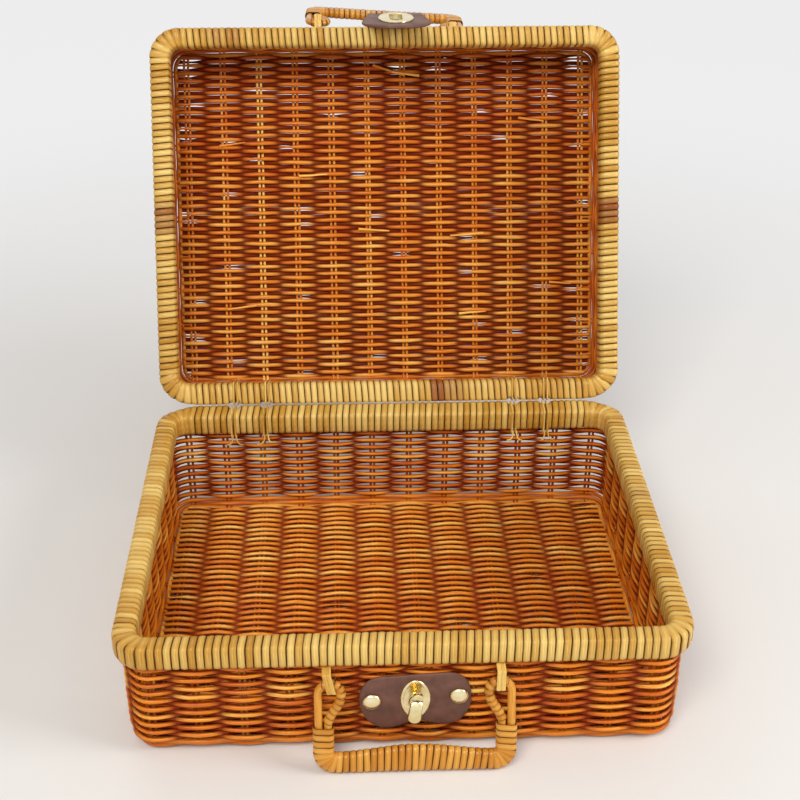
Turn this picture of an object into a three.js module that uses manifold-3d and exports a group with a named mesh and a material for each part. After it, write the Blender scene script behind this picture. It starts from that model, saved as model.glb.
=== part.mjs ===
// A wicker picnic suitcase: two woven trays with cane-bound rims, hinged by cane ties,
// with two swing handles, a brass turn lock on the base and a leather tab with an eyelet on the lid.
// Millimetres. X runs to the right, the front faces -Y, +Z is up.
// The origin is the middle of the underside. The lid is shown leaning back, wide open.

import * as THREE from 'three';
import { mergeVertices } from 'three/addons/utils/BufferGeometryUtils.js';
import Module from 'manifold-3d';

const wasm = await Module();
wasm.setup();

// Overall sizes
const RIM_LENGTH = 320;           // left to right over the bound rims
const RIM_DEPTH = 255;            // front to back over the bound rims
const BASE_HEIGHT = 80;           // ground to the plane where the lid parts from the base
const LID_HEIGHT = 55;            // parting plane to the outside of the lid panel
const LID_OPENING = 114;          // degrees from shut to leaning back

// Clearances
const SEAT_GAP = 0.3;             // between pieces that touch on the real object
const RUNNING_GAP = 0.5;          // between pieces that turn past each other

// Woven trays
const WEAVE_THICKNESS = 6;
const TONGUE_THICKNESS = 3;       // stake ends clamped between the hoops
const FOOT_RADIUS = 9;            // outer edge where the walls turn into floor or panel
const FLOOR_FILLET = 4;           // the same edge inside
const CORNER_STEPS = 5;           // facets on each plan corner

// Rims
const RIM_WIDTH = 13;
const RIM_HEIGHT = 15;
const RIM_CORNER_RADIUS = 20;     // outer plan corner
const RIM_EDGE_RADIUS = 3;        // rounding of the band's section
const BINDING_THICKNESS = 1;

// Cane ties
const TIE_THICKNESS = 0.9;
const TIE_CROSSING = 2;           // thickness where the two loops of a hinge tie cross
const HINGE_TIE_WIDTH = 4;
const HINGE_TIE_INSET = 52;       // end of the rim to the first hinge tie
const HINGE_TIE_SPACING = 22;     // between the two hinge ties of a pair
const HANDLE_TIE_WIDTH = 5;
const HANDLE_TIE_PLAY = 1.25;     // slack round the rod of the eye

// Handles
const HANDLE_WIDTH = 113;         // over the bound legs
const HANDLE_LENGTH = 54.3;       // swing axis to the outside of the grip
const HANDLE_DROP = 26.5;         // parting plane to the swing axis
const ROD_DIAMETER = 4.6;
const STRAND_GAP = 0.5;           // between the two strands inside the binding
const WRAP_THICKNESS = 0.8;
const WRAP_GROOVE = 0.35;         // depth of the valley between two wraps
const EYE_WIDTH = 12.5;           // across the eye, between rod centres
const EYE_LENGTH = 26;            // swing axis to where the binding starts
const GRIP_THICKNESS = 16;        // middle of the arched grip
const WRAP_CHAMFER = 0.55;        // share of the half thickness cut off a bound section's corners
const INNER_BEND = 0.6;           // radius left inside the bound corner
const LEG_WRAPS = 4;
const CORNER_WRAPS = 4;
const GRIP_WRAPS = 22;
const BASE_HANDLE_X = 5;          // the base handle sits right of the middle
const LID_HANDLE_X = 0;
const LID_TIE_SLACK = 5.7;        // the left tie of the lid handle is longer, so it lies askew
const LID_HANDLE_LIFT = 18;       // degrees, its stiff ties hold the lid handle off the wall
const GROUND_GAP = 0.3;

// Turn lock and leather
const FITTING_X = 5.5;            // lock and tab sit right of the middle
const LOCK_DROP = 40.5;           // parting plane to the turning axis of the lock
const PATCH_WIDTH = 62;
const PATCH_HEIGHT = 37;
const PATCH_SAG = 2;              // the lock sits above the middle of the patch
const PATCH_TILT = 3.5;           // degrees, right end up
const PATCH_THICKNESS = 1.6;
const RIVET_SPREAD = 24.2;        // rivet to lock axis
const RIVET_DIAMETER = 10.5;
const RIVET_DOME = 1.8;
const RIVET_SHANK = 3;
const RIVET_TAIL = 4.6;
const TAIL_THICKNESS = 0.6;
const BURR_DIAMETER = 9;
const BURR_THICKNESS = 1;
const LOCK_WIDTH = 16.7;
const LOCK_LENGTH = 27;
const LOCK_THICKNESS = 1;
const PRONG_DIAMETER = 1.8;       // two prongs of the lock plate go into the leather
const PRONG_REACH = 9.5;          // prong to lock axis
const POST_DIAMETER = 6;
const POST_FLANGE = 9;
const FLANGE_THICKNESS = 0.8;
const LEVER_LENGTH = 21;
const LEVER_WIDTH = 7.5;
const LEVER_THICKNESS = 3.5;
const LEVER_TILT = 7;             // degrees from upright
const TAB_THICKNESS = 1.8;
const STRAP_WIDTH = 36;
const FLAP_WIDTH = 44.6;
const FLAP_ROUND = 17;            // length of the rounded end
const FLAP_MARGIN = 9.5;          // leather past the eyelet
const FLAP_DROOP = 19;            // degrees, the free end hangs inwards while the lid leans back
const STRAP_LENGTH = 5;           // between the two fold lines of the tab
const STRAP_LIFT = 29;            // degrees, the strap springs away from the wall until it is pressed home
const ANCHOR_HEIGHT = 20;         // leather above the lid rim
const ANCHOR_CORNER = 8;          // rounding of the riveted end
const ANCHOR_BEND = 5;            // height over which the strap leaves the wall for the rim
const ANCHOR_RIVET_SPREAD = 10;
const EYELET_WIDTH = 23;
const EYELET_LENGTH = 36;
const EYELET_THICKNESS = 0.8;
const EYELET_MARGIN = 2.5;        // eyelet to the crest of the leather
const EYELET_COLLAR = 0.6;
const BACK_PLATE_INSET = 1;
const BACK_PLATE_THICKNESS = 0.6;
const SLOT_PLAY = 1.5;            // from each end of the lever to the slot

// Places that follow from the sizes above
const BAND_MIDDLE = RIM_DEPTH / 2 - RIM_WIDTH / 2;
const WALL_OUTER = BAND_MIDDLE + WEAVE_THICKNESS / 2;   // distance of the wall faces from the middle plane
const WALL_INNER = BAND_MIDDLE - WEAVE_THICKNESS / 2;
const RIM_FACE = SEAT_GAP + TIE_THICKNESS + SEAT_GAP / 2;   // parting plane to the rim, room for a tie
const RIM_BACK = RIM_FACE + RIM_HEIGHT;
const HINGE_Y = RIM_DEPTH / 2 + RIM_FACE;
const COVER = SEAT_GAP + WRAP_THICKNESS;                // from rod to the outside of the binding
const HALF_BOUND = ROD_DIAMETER / 2 + COVER;            // half the thickness of a bound leg
const PIVOT_Y = WALL_OUTER + HALF_BOUND + 3 * SEAT_GAP;
const LOCK_Z = BASE_HEIGHT - LOCK_DROP;
const PATCH_FACE = SEAT_GAP + PATCH_THICKNESS;          // heights above the front wall, outwards
const LOCK_FACE = PATCH_FACE + SEAT_GAP + LOCK_THICKNESS;
const BACK_PLATE_FACE = LOCK_FACE + SEAT_GAP;
const TAB_FACE = Math.max(
  BACK_PLATE_FACE + BACK_PLATE_THICKNESS + SEAT_GAP,
  RIM_DEPTH / 2 + SEAT_GAP - WALL_OUTER,
);
const EYELET_FACE = TAB_FACE + TAB_THICKNESS + SEAT_GAP;
const LEVER_FACE = EYELET_FACE + EYELET_THICKNESS + RUNNING_GAP;
const TAB_Y = -(WALL_OUTER + TAB_FACE + TAB_THICKNESS / 2);   // middle of the leather past the rim
const SLOT_WIDTH = LEVER_WIDTH + 2 * RUNNING_GAP;       // lets the upright lever through
const SLOT_LENGTH = LEVER_LENGTH + 2 * SLOT_PLAY;
const FOLD_RADIUS = TAB_THICKNESS / 2;
const FOLD_GAP = FOLD_RADIUS + SEAT_GAP;                // from a fold line to the flat end beside it
const CREST_Z = LOCK_Z + EYELET_LENGTH / 2 + EYELET_MARGIN;   // fold lines, with the tab pressed home
const FOLD_Z = CREST_Z + STRAP_LENGTH;
const FLAP_LENGTH = EYELET_LENGTH + EYELET_MARGIN + FLAP_MARGIN;

// Finishes
const WICKER = { color: 0xa8571d, roughness: 0.5, metalness: 0 };
const STRAW_CANE = { color: 0xdcb35c, roughness: 0.45, metalness: 0 };
const HANDLE_CANE = { color: 0xc57a24, roughness: 0.45, metalness: 0 };
const ROD_WOOD = { color: 0xb06d2a, roughness: 0.6, metalness: 0 };
const LEATHER = { color: 0x4d2b27, roughness: 0.65, metalness: 0 };
const BRASS = { color: 0xd9c27e, roughness: 0.25, metalness: 1 };

const radians = THREE.MathUtils.degToRad;

// Positions only, shared corners merged, empty faces dropped and all faces turned outwards
function tidy(geometry) {
  geometry.deleteAttribute('normal');
  geometry.deleteAttribute('uv');
  const merged = mergeVertices(geometry, 1e-4);
  const corner = new THREE.Vector3();
  const second = new THREE.Vector3();
  const third = new THREE.Vector3();
  const place = merged.attributes.position;
  const faces = [];
  let volume = 0;
  for (let i = 0; i < merged.index.count; i += 3) {
    const [a, b, c] = [0, 1, 2].map((k) => merged.index.getX(i + k));
    if (a === b || b === c || c === a) continue;
    faces.push([a, b, c]);
    corner.fromBufferAttribute(place, a);
    second.fromBufferAttribute(place, b);
    third.fromBufferAttribute(place, c);
    volume += corner.dot(second.cross(third));
  }
  merged.setIndex(faces.flatMap(([a, b, c]) => (volume > 0 ? [a, b, c] : [a, c, b])));
  return merged;
}

// Solids for cutting and joining
function toSolid(geometry) {
  const closed = tidy(geometry);
  return new wasm.Manifold(new wasm.Mesh({
    numProp: 3,
    vertProperties: new Float32Array(closed.attributes.position.array),
    triVerts: Uint32Array.from(closed.index.array),
  }));
}

function toGeometry(solid) {
  const mesh = solid.getMesh();
  const geometry = new THREE.BufferGeometry();
  geometry.setAttribute('position', new THREE.BufferAttribute(Float32Array.from(mesh.vertProperties), 3));
  geometry.setIndex(Array.from(mesh.triVerts));
  return geometry;
}

const cut = (geometry, cutters) => toGeometry(
  cutters.reduce((solid, cutter) => solid.subtract(toSolid(cutter)), toSolid(geometry)),
);
const join = (geometry, others) => toGeometry(
  others.reduce((solid, other) => solid.add(toSolid(other)), toSolid(geometry)),
);
const common = (geometry, other) => toGeometry(toSolid(geometry).intersect(toSolid(other)));

function block(low, high) {
  const size = high.clone().sub(low);
  const middle = low.clone().add(high).multiplyScalar(0.5);
  return new THREE.BoxGeometry(size.x, size.y, size.z).translate(middle.x, middle.y, middle.z);
}

// Skin over rings of equally many points: capped at both ends, or closed on itself
function skin(rings, closed = false) {
  const count = rings[0].length;
  const points = rings.flat();
  const faces = [];
  const spans = closed ? rings.length : rings.length - 1;
  for (let r = 0; r < spans; r += 1) {
    const here = r * count;
    const next = ((r + 1) % rings.length) * count;
    for (let i = 0; i < count; i += 1) {
      const j = (i + 1) % count;
      faces.push(here + i, here + j, next + j, here + i, next + j, next + i);
    }
  }
  if (!closed) {
    [[0, false], [rings.length - 1, true]].forEach(([r, far]) => {
      const middle = rings[r].reduce((sum, point) => sum.add(point), new THREE.Vector3()).divideScalar(count);
      const centre = points.push(middle) - 1;
      for (let i = 0; i < count; i += 1) {
        const [a, b] = [r * count + i, r * count + ((i + 1) % count)];
        faces.push(...(far ? [centre, a, b] : [centre, b, a]));
      }
    });
  }
  const geometry = new THREE.BufferGeometry().setFromPoints(points);
  geometry.setIndex(faces);
  return tidy(geometry);
}

// Plan outline of the basket, offset outwards from the middle of the rim band
function planRing(offset, z) {
  const radius = RIM_CORNER_RADIUS - RIM_WIDTH / 2 + offset;
  const centreX = RIM_LENGTH / 2 - RIM_CORNER_RADIUS;
  const centreY = RIM_DEPTH / 2 - RIM_CORNER_RADIUS;
  const points = [];
  [[1, 1], [-1, 1], [-1, -1], [1, -1]].forEach(([sideX, sideY], quarter) => {
    for (let i = 0; i <= CORNER_STEPS; i += 1) {
      const angle = (quarter + i / CORNER_STEPS) * Math.PI / 2;
      points.push(new THREE.Vector3(
        sideX * centreX + radius * Math.cos(angle),
        sideY * centreY + radius * Math.sin(angle),
        z,
      ));
    }
  });
  return points;
}

// Both trays share one section, measured from the parting plane: up for the lid, down for the base
const LID_SIDE = 1;
const BASE_SIDE = -1;
const level = (side, distance) => BASE_HEIGHT + side * distance;

// Quarter round in a section, from one angle to another, as [offset, distance] pairs
function roundCorner(offset, distance, radius, from, to, steps) {
  return Array.from({ length: steps + 1 }, (_, i) => {
    const angle = radians(from + (to - from) * i / steps);
    return [offset + radius * Math.cos(angle), distance + radius * Math.sin(angle)];
  });
}

// Woven tray: floor, rounded foot, upright walls, and the thinner tongue that the hoops clamp
function wovenTray(side, height) {
  const half = WEAVE_THICKNESS / 2;
  const tongue = TONGUE_THICKNESS / 2;
  const shoulder = RIM_BACK + SEAT_GAP;
  const tip = RIM_FACE + BINDING_THICKNESS + SEAT_GAP;
  const section = [
    ...roundCorner(half - FOOT_RADIUS, height - FOOT_RADIUS, FOOT_RADIUS, 90, 0, 3),
    [half, shoulder],
    [tongue, shoulder],
    [tongue, tip],
    [-tongue, tip],
    [-tongue, shoulder],
    [-half, shoulder],
    ...roundCorner(-half - FLOOR_FILLET, height - WEAVE_THICKNESS - FLOOR_FILLET, FLOOR_FILLET, 0, 90, 2),
  ];
  return skin(section.map(([offset, distance]) => planRing(offset, level(side, distance))));
}

// Slot through a wall for one strand of a tie, at x, from one distance off the parting plane to another
function tieWindow(side, x, width, back, near, far) {
  const wall = [WALL_INNER - 1, WALL_OUTER + 1].map((y) => (back ? y : -y)).sort((a, b) => a - b);
  const levels = [level(side, near), level(side, far)].sort((a, b) => a - b);
  const half = width / 2 + SEAT_GAP;
  return block(
    new THREE.Vector3(x - half, wall[0], levels[0]),
    new THREE.Vector3(x + half, wall[1], levels[1]),
  );
}

const HINGE_TIE_OUTER = RIM_LENGTH / 2 - HINGE_TIE_INSET;
const HINGE_TIE_INNER = HINGE_TIE_OUTER - HINGE_TIE_SPACING;
const HINGE_TIE_PLACES = [-HINGE_TIE_OUTER, -HINGE_TIE_INNER, HINGE_TIE_INNER, HINGE_TIE_OUTER];
const EYE_CENTRE = HANDLE_WIDTH / 2 - HALF_BOUND - EYE_WIDTH / 2;
const TIE_FAR = HANDLE_DROP + ROD_DIAMETER / 2 + HANDLE_TIE_PLAY;   // under the rod of an eye
const STRAND_ROOM = TIE_THICKNESS + SEAT_GAP;

// All openings of one tray: hinge ties at the back, handle ties and rivets at the front
function trayWindows(side, handleX, rivets) {
  const windows = HINGE_TIE_PLACES.map(
    (x) => tieWindow(side, x, HINGE_TIE_WIDTH, true, RIM_BACK, RIM_BACK + SEAT_GAP + STRAND_ROOM),
  );
  [-EYE_CENTRE, EYE_CENTRE].forEach((x) => {
    const place = handleX + x;
    const back = RIM_BACK + SEAT_GAP + STRAND_ROOM;
    windows.push(tieWindow(side, place, HANDLE_TIE_WIDTH, false, RIM_BACK, back));
    windows.push(tieWindow(side, place, HANDLE_TIE_WIDTH, false, TIE_FAR - SEAT_GAP, TIE_FAR + STRAND_ROOM));
  });
  rivets.forEach(([x, z]) => {
    const hole = new THREE.CylinderGeometry(
      RIVET_SHANK / 2 + SEAT_GAP, RIVET_SHANK / 2 + SEAT_GAP, 2 * WEAVE_THICKNESS, 12,
    );
    windows.push(hole.translate(x, -BAND_MIDDLE, z));
  });
  return windows;
}

// Flat hoop inside the rim, outside or inside the tongue
function rimHoop(side, outward) {
  const near = outward * (TONGUE_THICKNESS / 2 + SEAT_GAP);
  const far = outward * (RIM_WIDTH / 2 - BINDING_THICKNESS - SEAT_GAP);
  const top = RIM_FACE + BINDING_THICKNESS + SEAT_GAP;
  const bottom = RIM_BACK - BINDING_THICKNESS - SEAT_GAP;
  const section = [[near, top], [far, top], [far, bottom], [near, bottom]];
  return skin(section.map(([offset, distance]) => planRing(offset, level(side, distance))), true);
}

// Cane binding round both hoops, open below where the weave goes in
function rimBinding(side) {
  const half = RIM_WIDTH / 2;
  const slit = TONGUE_THICKNESS / 2 + SEAT_GAP;
  const inner = half - BINDING_THICKNESS;
  const round = half - RIM_EDGE_RADIUS;
  const near = RIM_FACE + RIM_EDGE_RADIUS;
  const far = RIM_BACK - RIM_EDGE_RADIUS;
  const section = [
    [slit, RIM_BACK],
    ...roundCorner(round, far, RIM_EDGE_RADIUS, 90, 0, 2),
    ...roundCorner(round, near, RIM_EDGE_RADIUS, 0, -90, 2),
    ...roundCorner(-round, near, RIM_EDGE_RADIUS, -90, -180, 2),
    ...roundCorner(-round, far, RIM_EDGE_RADIUS, 180, 90, 2),
    [-slit, RIM_BACK],
    [-slit, RIM_BACK - BINDING_THICKNESS],
    [-inner, RIM_BACK - BINDING_THICKNESS],
    [-inner, RIM_FACE + BINDING_THICKNESS],
    [inner, RIM_FACE + BINDING_THICKNESS],
    [inner, RIM_BACK - BINDING_THICKNESS],
    [slit, RIM_BACK - BINDING_THICKNESS],
  ];
  return skin(section.map(([offset, distance]) => planRing(offset, level(side, distance))), true);
}

// Outline in the Y-Z plane turned into a band of some width along X
const ACROSS = new THREE.Matrix4().makeBasis(
  new THREE.Vector3(0, 1, 0), new THREE.Vector3(0, 0, 1), new THREE.Vector3(1, 0, 0),
);
function band(outline, x, width, curveSegments = 1) {
  const geometry = new THREE.ExtrudeGeometry(outline, { depth: width, bevelEnabled: false, curveSegments });
  return geometry.applyMatrix4(ACROSS).translate(x - width / 2, 0, 0);
}

// Rectangle with its own radius at each corner, counted from high first and second place
function roundedBox(path, [low1, high1], [low2, high2], radii) {
  const corners = [[high1, high2, -1, -1], [low1, high2, 1, -1], [low1, low2, 1, 1], [high1, low2, -1, 1]];
  corners.forEach(([first, second, inward1, inward2], i) => {
    const radius = radii[i];
    const centre = [first + inward1 * radius, second + inward2 * radius];
    path.absarc(...centre, radius, i * Math.PI / 2, (i + 1) * Math.PI / 2);
  });
  path.closePath();
  return path;
}

// Closed cane loop round what lies between the given Y and Z; one corner may be left square
function tieLoop(x, width, spanY, spanZ, radius, squareCorner = -1) {
  const [y, z] = [spanY, spanZ].map((span) => [Math.min(...span), Math.max(...span)]);
  const [outerY, outerZ] = [y, z].map(([low, high]) => [low - TIE_THICKNESS, high + TIE_THICKNESS]);
  const radii = [0, 1, 2, 3].map((corner) => (corner === squareCorner ? 0 : radius + TIE_THICKNESS));
  const outline = roundedBox(new THREE.Shape(), outerY, outerZ, radii);
  outline.holes.push(roundedBox(new THREE.Path(), y, z, [radius, radius, radius, radius]));
  return band(outline, x, width);
}

// Hinge tie: a loop round each rim. The two cross on the hinge line, where the base loop has the core.
function hingeTie(side, x) {
  const inner = RIM_DEPTH / 2 - RIM_WIDTH - SEAT_GAP;
  const outer = RIM_DEPTH / 2 + SEAT_GAP;
  const levels = [level(side, RIM_FACE - SEAT_GAP), level(side, RIM_BACK + SEAT_GAP)];
  const hingeCorner = side === BASE_SIDE ? 0 : 3;
  const loop = tieLoop(x, HINGE_TIE_WIDTH, [inner, outer], levels, RIM_EDGE_RADIUS + SEAT_GAP, hingeCorner);
  const core = (radius, width) => new THREE.CylinderGeometry(radius, radius, width, 12)
    .rotateZ(Math.PI / 2).translate(x, HINGE_Y, BASE_HEIGHT);
  return side === BASE_SIDE
    ? join(loop, [core(TIE_CROSSING / 2, HINGE_TIE_WIDTH)])
    : cut(loop, [core(TIE_CROSSING / 2 + SEAT_GAP, 2 * HINGE_TIE_WIDTH)]);
}

function handleTie(side, x, pivotY) {
  const outer = -(pivotY + ROD_DIAMETER / 2 + HANDLE_TIE_PLAY);
  const inner = -(WALL_INNER - SEAT_GAP);
  const levels = [level(side, RIM_BACK + SEAT_GAP + TIE_THICKNESS), level(side, TIE_FAR)];
  return tieLoop(x, HANDLE_TIE_WIDTH, [outer, inner], levels, SEAT_GAP);
}

// Handle, drawn in its own X-Z plane: swing axis along X through the origin, grip below.
// Its rod is one closed hoop: straight outside strand, an eye at each end, arched inside strand.
const STRAND_PITCH = ROD_DIAMETER + STRAND_GAP;
const GRIP_PITCH = GRIP_THICKNESS - 2 * HALF_BOUND;
const LEG_X = HANDLE_WIDTH / 2 - HALF_BOUND;
const GRIP_Z = HALF_BOUND - HANDLE_LENGTH;
const BEND_RADIUS = INNER_BEND + HALF_BOUND + STRAND_PITCH;
const BEND_X = LEG_X - BEND_RADIUS;
const BEND_Z = GRIP_Z + BEND_RADIUS;

const archShare = (x) => (1 + Math.cos(Math.PI * x / BEND_X)) / 2;
const archPitch = (x) => STRAND_PITCH + (GRIP_PITCH - STRAND_PITCH) * archShare(x);

function arc(x, z, radius, from, to, steps) {
  return Array.from({ length: steps + 1 }, (_, i) => {
    const angle = radians(from + (to - from) * i / steps);
    return new THREE.Vector3(x + radius * Math.cos(angle), 0, z + radius * Math.sin(angle));
  });
}

function handleCentreline() {
  const eye = EYE_WIDTH / 2;
  const pull = (EYE_LENGTH - eye) * 0.45;
  const tail = new THREE.CubicBezierCurve3(
    new THREE.Vector3(LEG_X - EYE_WIDTH, 0, -eye),
    new THREE.Vector3(LEG_X - EYE_WIDTH, 0, -eye - pull),
    new THREE.Vector3(LEG_X - STRAND_PITCH, 0, -EYE_LENGTH + pull),
    new THREE.Vector3(LEG_X - STRAND_PITCH, 0, -EYE_LENGTH),
  );
  const archSteps = 7;
  const half = [
    new THREE.Vector3(0, 0, GRIP_Z),
    ...arc(BEND_X, BEND_Z, BEND_RADIUS, -90, 0, 4),
    ...arc(LEG_X - eye, -eye, eye, 0, 180, 8),
    ...tail.getPoints(5).slice(1),
    ...arc(BEND_X, BEND_Z, BEND_RADIUS - STRAND_PITCH, 0, -90, 3),
    ...Array.from({ length: archSteps }, (_, i) => {
      const x = BEND_X * (1 - (i + 1) / archSteps);
      return new THREE.Vector3(x, 0, GRIP_Z + archPitch(x));
    }),
  ];
  const mirrored = half.slice(1, -1).reverse().map((point) => new THREE.Vector3(-point.x, 0, point.z));
  return [...half, ...mirrored];
}

function handleRod() {
  const sides = 8;
  const path = handleCentreline();
  const rings = path.map((point, i) => {
    const along = path[(i + 1) % path.length].clone().sub(path.at(i - 1)).normalize();
    const across = new THREE.Vector3(along.z, 0, -along.x);
    return Array.from({ length: sides }, (_, k) => {
      const angle = 2 * Math.PI * k / sides;
      return point.clone()
        .addScaledVector(across, Math.cos(angle) * ROD_DIAMETER / 2)
        .add(new THREE.Vector3(0, Math.sin(angle) * ROD_DIAMETER / 2, 0));
    });
  });
  return skin(rings, true);
}

// Both strands at a share of the way along the bound part, from the right leg to the left one
function strandsAt(part, share) {
  const side = part.startsWith('left') ? -1 : 1;
  const towards = side > 0 ? share : 1 - share;
  const pair = (outer, inner) => [outer, inner].map(([x, z]) => new THREE.Vector3(x, 0, z));
  if (part === 'grip') {
    const x = BEND_X * (1 - 2 * share);
    return pair([x, GRIP_Z], [x, GRIP_Z + archPitch(x)]);
  }
  if (part.endsWith('leg')) {
    const z = -EYE_LENGTH + (BEND_Z + EYE_LENGTH) * towards;
    return pair([side * LEG_X, z], [side * (LEG_X - STRAND_PITCH), z]);
  }
  const angle = -towards * Math.PI / 2;
  const point = (radius) => [side * (BEND_X + radius * Math.cos(angle)), BEND_Z + radius * Math.sin(angle)];
  return pair(point(BEND_RADIUS), point(BEND_RADIUS - STRAND_PITCH));
}

// Eight-sided ring round both strands, standing off the rods by a cover
function bindingRing([outer, inner], cover) {
  const middle = outer.clone().add(inner).multiplyScalar(0.5);
  const across = outer.clone().sub(inner);
  const wide = across.length() / 2 + ROD_DIAMETER / 2 + cover;
  const thick = ROD_DIAMETER / 2 + cover;
  const chamfer = WRAP_CHAMFER * thick;
  across.normalize();
  const profile = [
    [wide, thick - chamfer], [wide - chamfer, thick], [chamfer - wide, thick], [-wide, thick - chamfer],
    [-wide, chamfer - thick], [chamfer - wide, -thick], [wide - chamfer, -thick], [wide, chamfer - thick],
  ];
  return profile.map(([u, v]) => middle.clone().addScaledVector(across, u).add(new THREE.Vector3(0, v, 0)));
}

// Binding as a ribbed sleeve, one rib for each wrap, open at both ends where the eyes come out
function handleBinding() {
  const runs = [
    ['right leg', LEG_WRAPS], ['right corner', CORNER_WRAPS], ['grip', GRIP_WRAPS],
    ['left corner', CORNER_WRAPS], ['left leg', LEG_WRAPS],
  ];
  const valley = COVER - WRAP_GROOVE;
  const outside = [];
  const inside = [];
  runs.forEach(([part, wraps]) => {
    for (let i = 0; i < wraps; i += 1) {
      outside.push(bindingRing(strandsAt(part, i / wraps), valley));
      outside.push(bindingRing(strandsAt(part, (i + 0.5) / wraps), COVER));
      if (part.endsWith('corner') || i % 3 === 0) inside.push(bindingRing(strandsAt(part, i / wraps), SEAT_GAP));
    }
  });
  const end = strandsAt('left leg', 1);
  outside.push(bindingRing(end, valley));
  inside.push(bindingRing(end, SEAT_GAP));
  return skin([...outside, ...inside.reverse()], true);
}

// Turned piece with its axis along Z, from a profile of [radius, height] pairs
function turned(profile, segments = 12) {
  const points = profile.map(([radius, height]) => new THREE.Vector2(radius, height));
  return new THREE.LatheGeometry(points, segments).rotateX(Math.PI / 2);
}

// Rivet through leather and wall; heights are measured outwards from the wall
function rivet(under) {
  const radius = RIVET_DIAMETER / 2;
  const burrBack = -(WEAVE_THICKNESS + SEAT_GAP + BURR_THICKNESS);
  const tail = burrBack - SEAT_GAP;
  const dome = Array.from({ length: 5 }, (_, i) => {
    const angle = i * Math.PI / 8;
    return [i === 4 ? 0 : radius * Math.cos(angle), under + SEAT_GAP + RIVET_DOME * Math.sin(angle)];
  });
  return turned([
    [0, tail - TAIL_THICKNESS], [RIVET_TAIL / 2, tail - TAIL_THICKNESS], [RIVET_TAIL / 2, tail],
    [RIVET_SHANK / 2, tail], [RIVET_SHANK / 2, under + SEAT_GAP], ...dome,
  ]);
}

function burr() {
  const front = -(WEAVE_THICKNESS + SEAT_GAP);
  const hole = RIVET_SHANK / 2 + SEAT_GAP;
  const back = front - BURR_THICKNESS;
  return turned([
    [hole, back], [BURR_DIAMETER / 2, back], [BURR_DIAMETER / 2, front], [hole, front], [hole, back],
  ]);
}

function circleHole(x, y, radius) {
  return new THREE.Path().absarc(x, y, radius, 0, 2 * Math.PI, true);
}

// Leather patch with round ends and a dip in its lower edge
function lockPatch() {
  const wide = PATCH_WIDTH / 2;
  const tall = PATCH_HEIGHT / 2;
  const low = -PATCH_SAG;
  const outline = new THREE.Shape();
  outline.moveTo(0.55 * wide, low + tall);
  outline.lineTo(-0.55 * wide, low + tall);
  outline.bezierCurveTo(-0.85 * wide, low + tall, -wide, low + 0.65 * tall, -wide, low + 0.1 * tall);
  outline.bezierCurveTo(-wide, low - 0.6 * tall, -0.8 * wide, low - tall, -0.5 * wide, low - tall);
  outline.bezierCurveTo(-0.3 * wide, low - tall, -0.2 * wide, low - 0.8 * tall, 0, low - 0.8 * tall);
  outline.bezierCurveTo(0.2 * wide, low - 0.8 * tall, 0.3 * wide, low - tall, 0.5 * wide, low - tall);
  outline.bezierCurveTo(0.8 * wide, low - tall, wide, low - 0.6 * tall, wide, low + 0.1 * tall);
  outline.bezierCurveTo(wide, low + 0.65 * tall, 0.85 * wide, low + tall, 0.55 * wide, low + tall);
  const tilt = radians(-PATCH_TILT);
  outline.holes.push(circleHole(0, 0, POST_FLANGE / 2 + SEAT_GAP));
  [-RIVET_SPREAD, RIVET_SPREAD].forEach((x) => {
    outline.holes.push(circleHole(x, 0, RIVET_SHANK / 2 + SEAT_GAP));
  });
  [-PRONG_REACH, PRONG_REACH].forEach((y) => {
    outline.holes.push(circleHole(-y * Math.sin(tilt), y * Math.cos(tilt), PRONG_DIAMETER / 2 + SEAT_GAP));
  });
  return new THREE.ExtrudeGeometry(outline, { depth: PATCH_THICKNESS, bevelEnabled: false, curveSegments: 5 })
    .translate(0, 0, SEAT_GAP);
}

function ovalRing(halfWidth, halfHeight, z, count) {
  return Array.from({ length: count }, (_, i) => {
    const angle = 2 * Math.PI * (i + 0.5) / count;
    return new THREE.Vector3(halfWidth * Math.cos(angle), halfHeight * Math.sin(angle), z);
  });
}

// Slot-shaped ring: straight sides, round ends
function slotRing(halfWidth, halfHeight, z, count) {
  const straight = halfHeight - halfWidth;
  return Array.from({ length: count }, (_, i) => {
    const angle = 2 * Math.PI * (i + 0.5) / count;
    const shift = i < count / 2 ? straight : -straight;
    return new THREE.Vector3(halfWidth * Math.cos(angle), shift + halfWidth * Math.sin(angle), z);
  });
}

// Crowned oval plate with a round hole for the post and two prongs into the leather
function lockPlate() {
  const count = 20;
  const back = PATCH_FACE + SEAT_GAP;
  const hole = POST_DIAMETER / 2 + SEAT_GAP;
  const rings = [
    ovalRing(hole, hole, back, count),
    ovalRing(LOCK_WIDTH / 2, LOCK_LENGTH / 2, back, count),
    ovalRing(LOCK_WIDTH / 2, LOCK_LENGTH / 2, back + LOCK_THICKNESS / 2, count),
    ovalRing(LOCK_WIDTH / 2 - LOCK_THICKNESS, LOCK_LENGTH / 2 - LOCK_THICKNESS, LOCK_FACE, count),
    ovalRing(hole, hole, LOCK_FACE, count),
  ];
  const prongs = [-PRONG_REACH, PRONG_REACH].map((y) => new THREE.CylinderGeometry(
    PRONG_DIAMETER / 2, PRONG_DIAMETER / 2, PATCH_THICKNESS + SEAT_GAP + LOCK_THICKNESS / 2, 8,
  ).rotateX(Math.PI / 2).translate(0, y, (SEAT_GAP + back + LOCK_THICKNESS / 2) / 2));
  return join(skin(rings, true), prongs);
}

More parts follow.
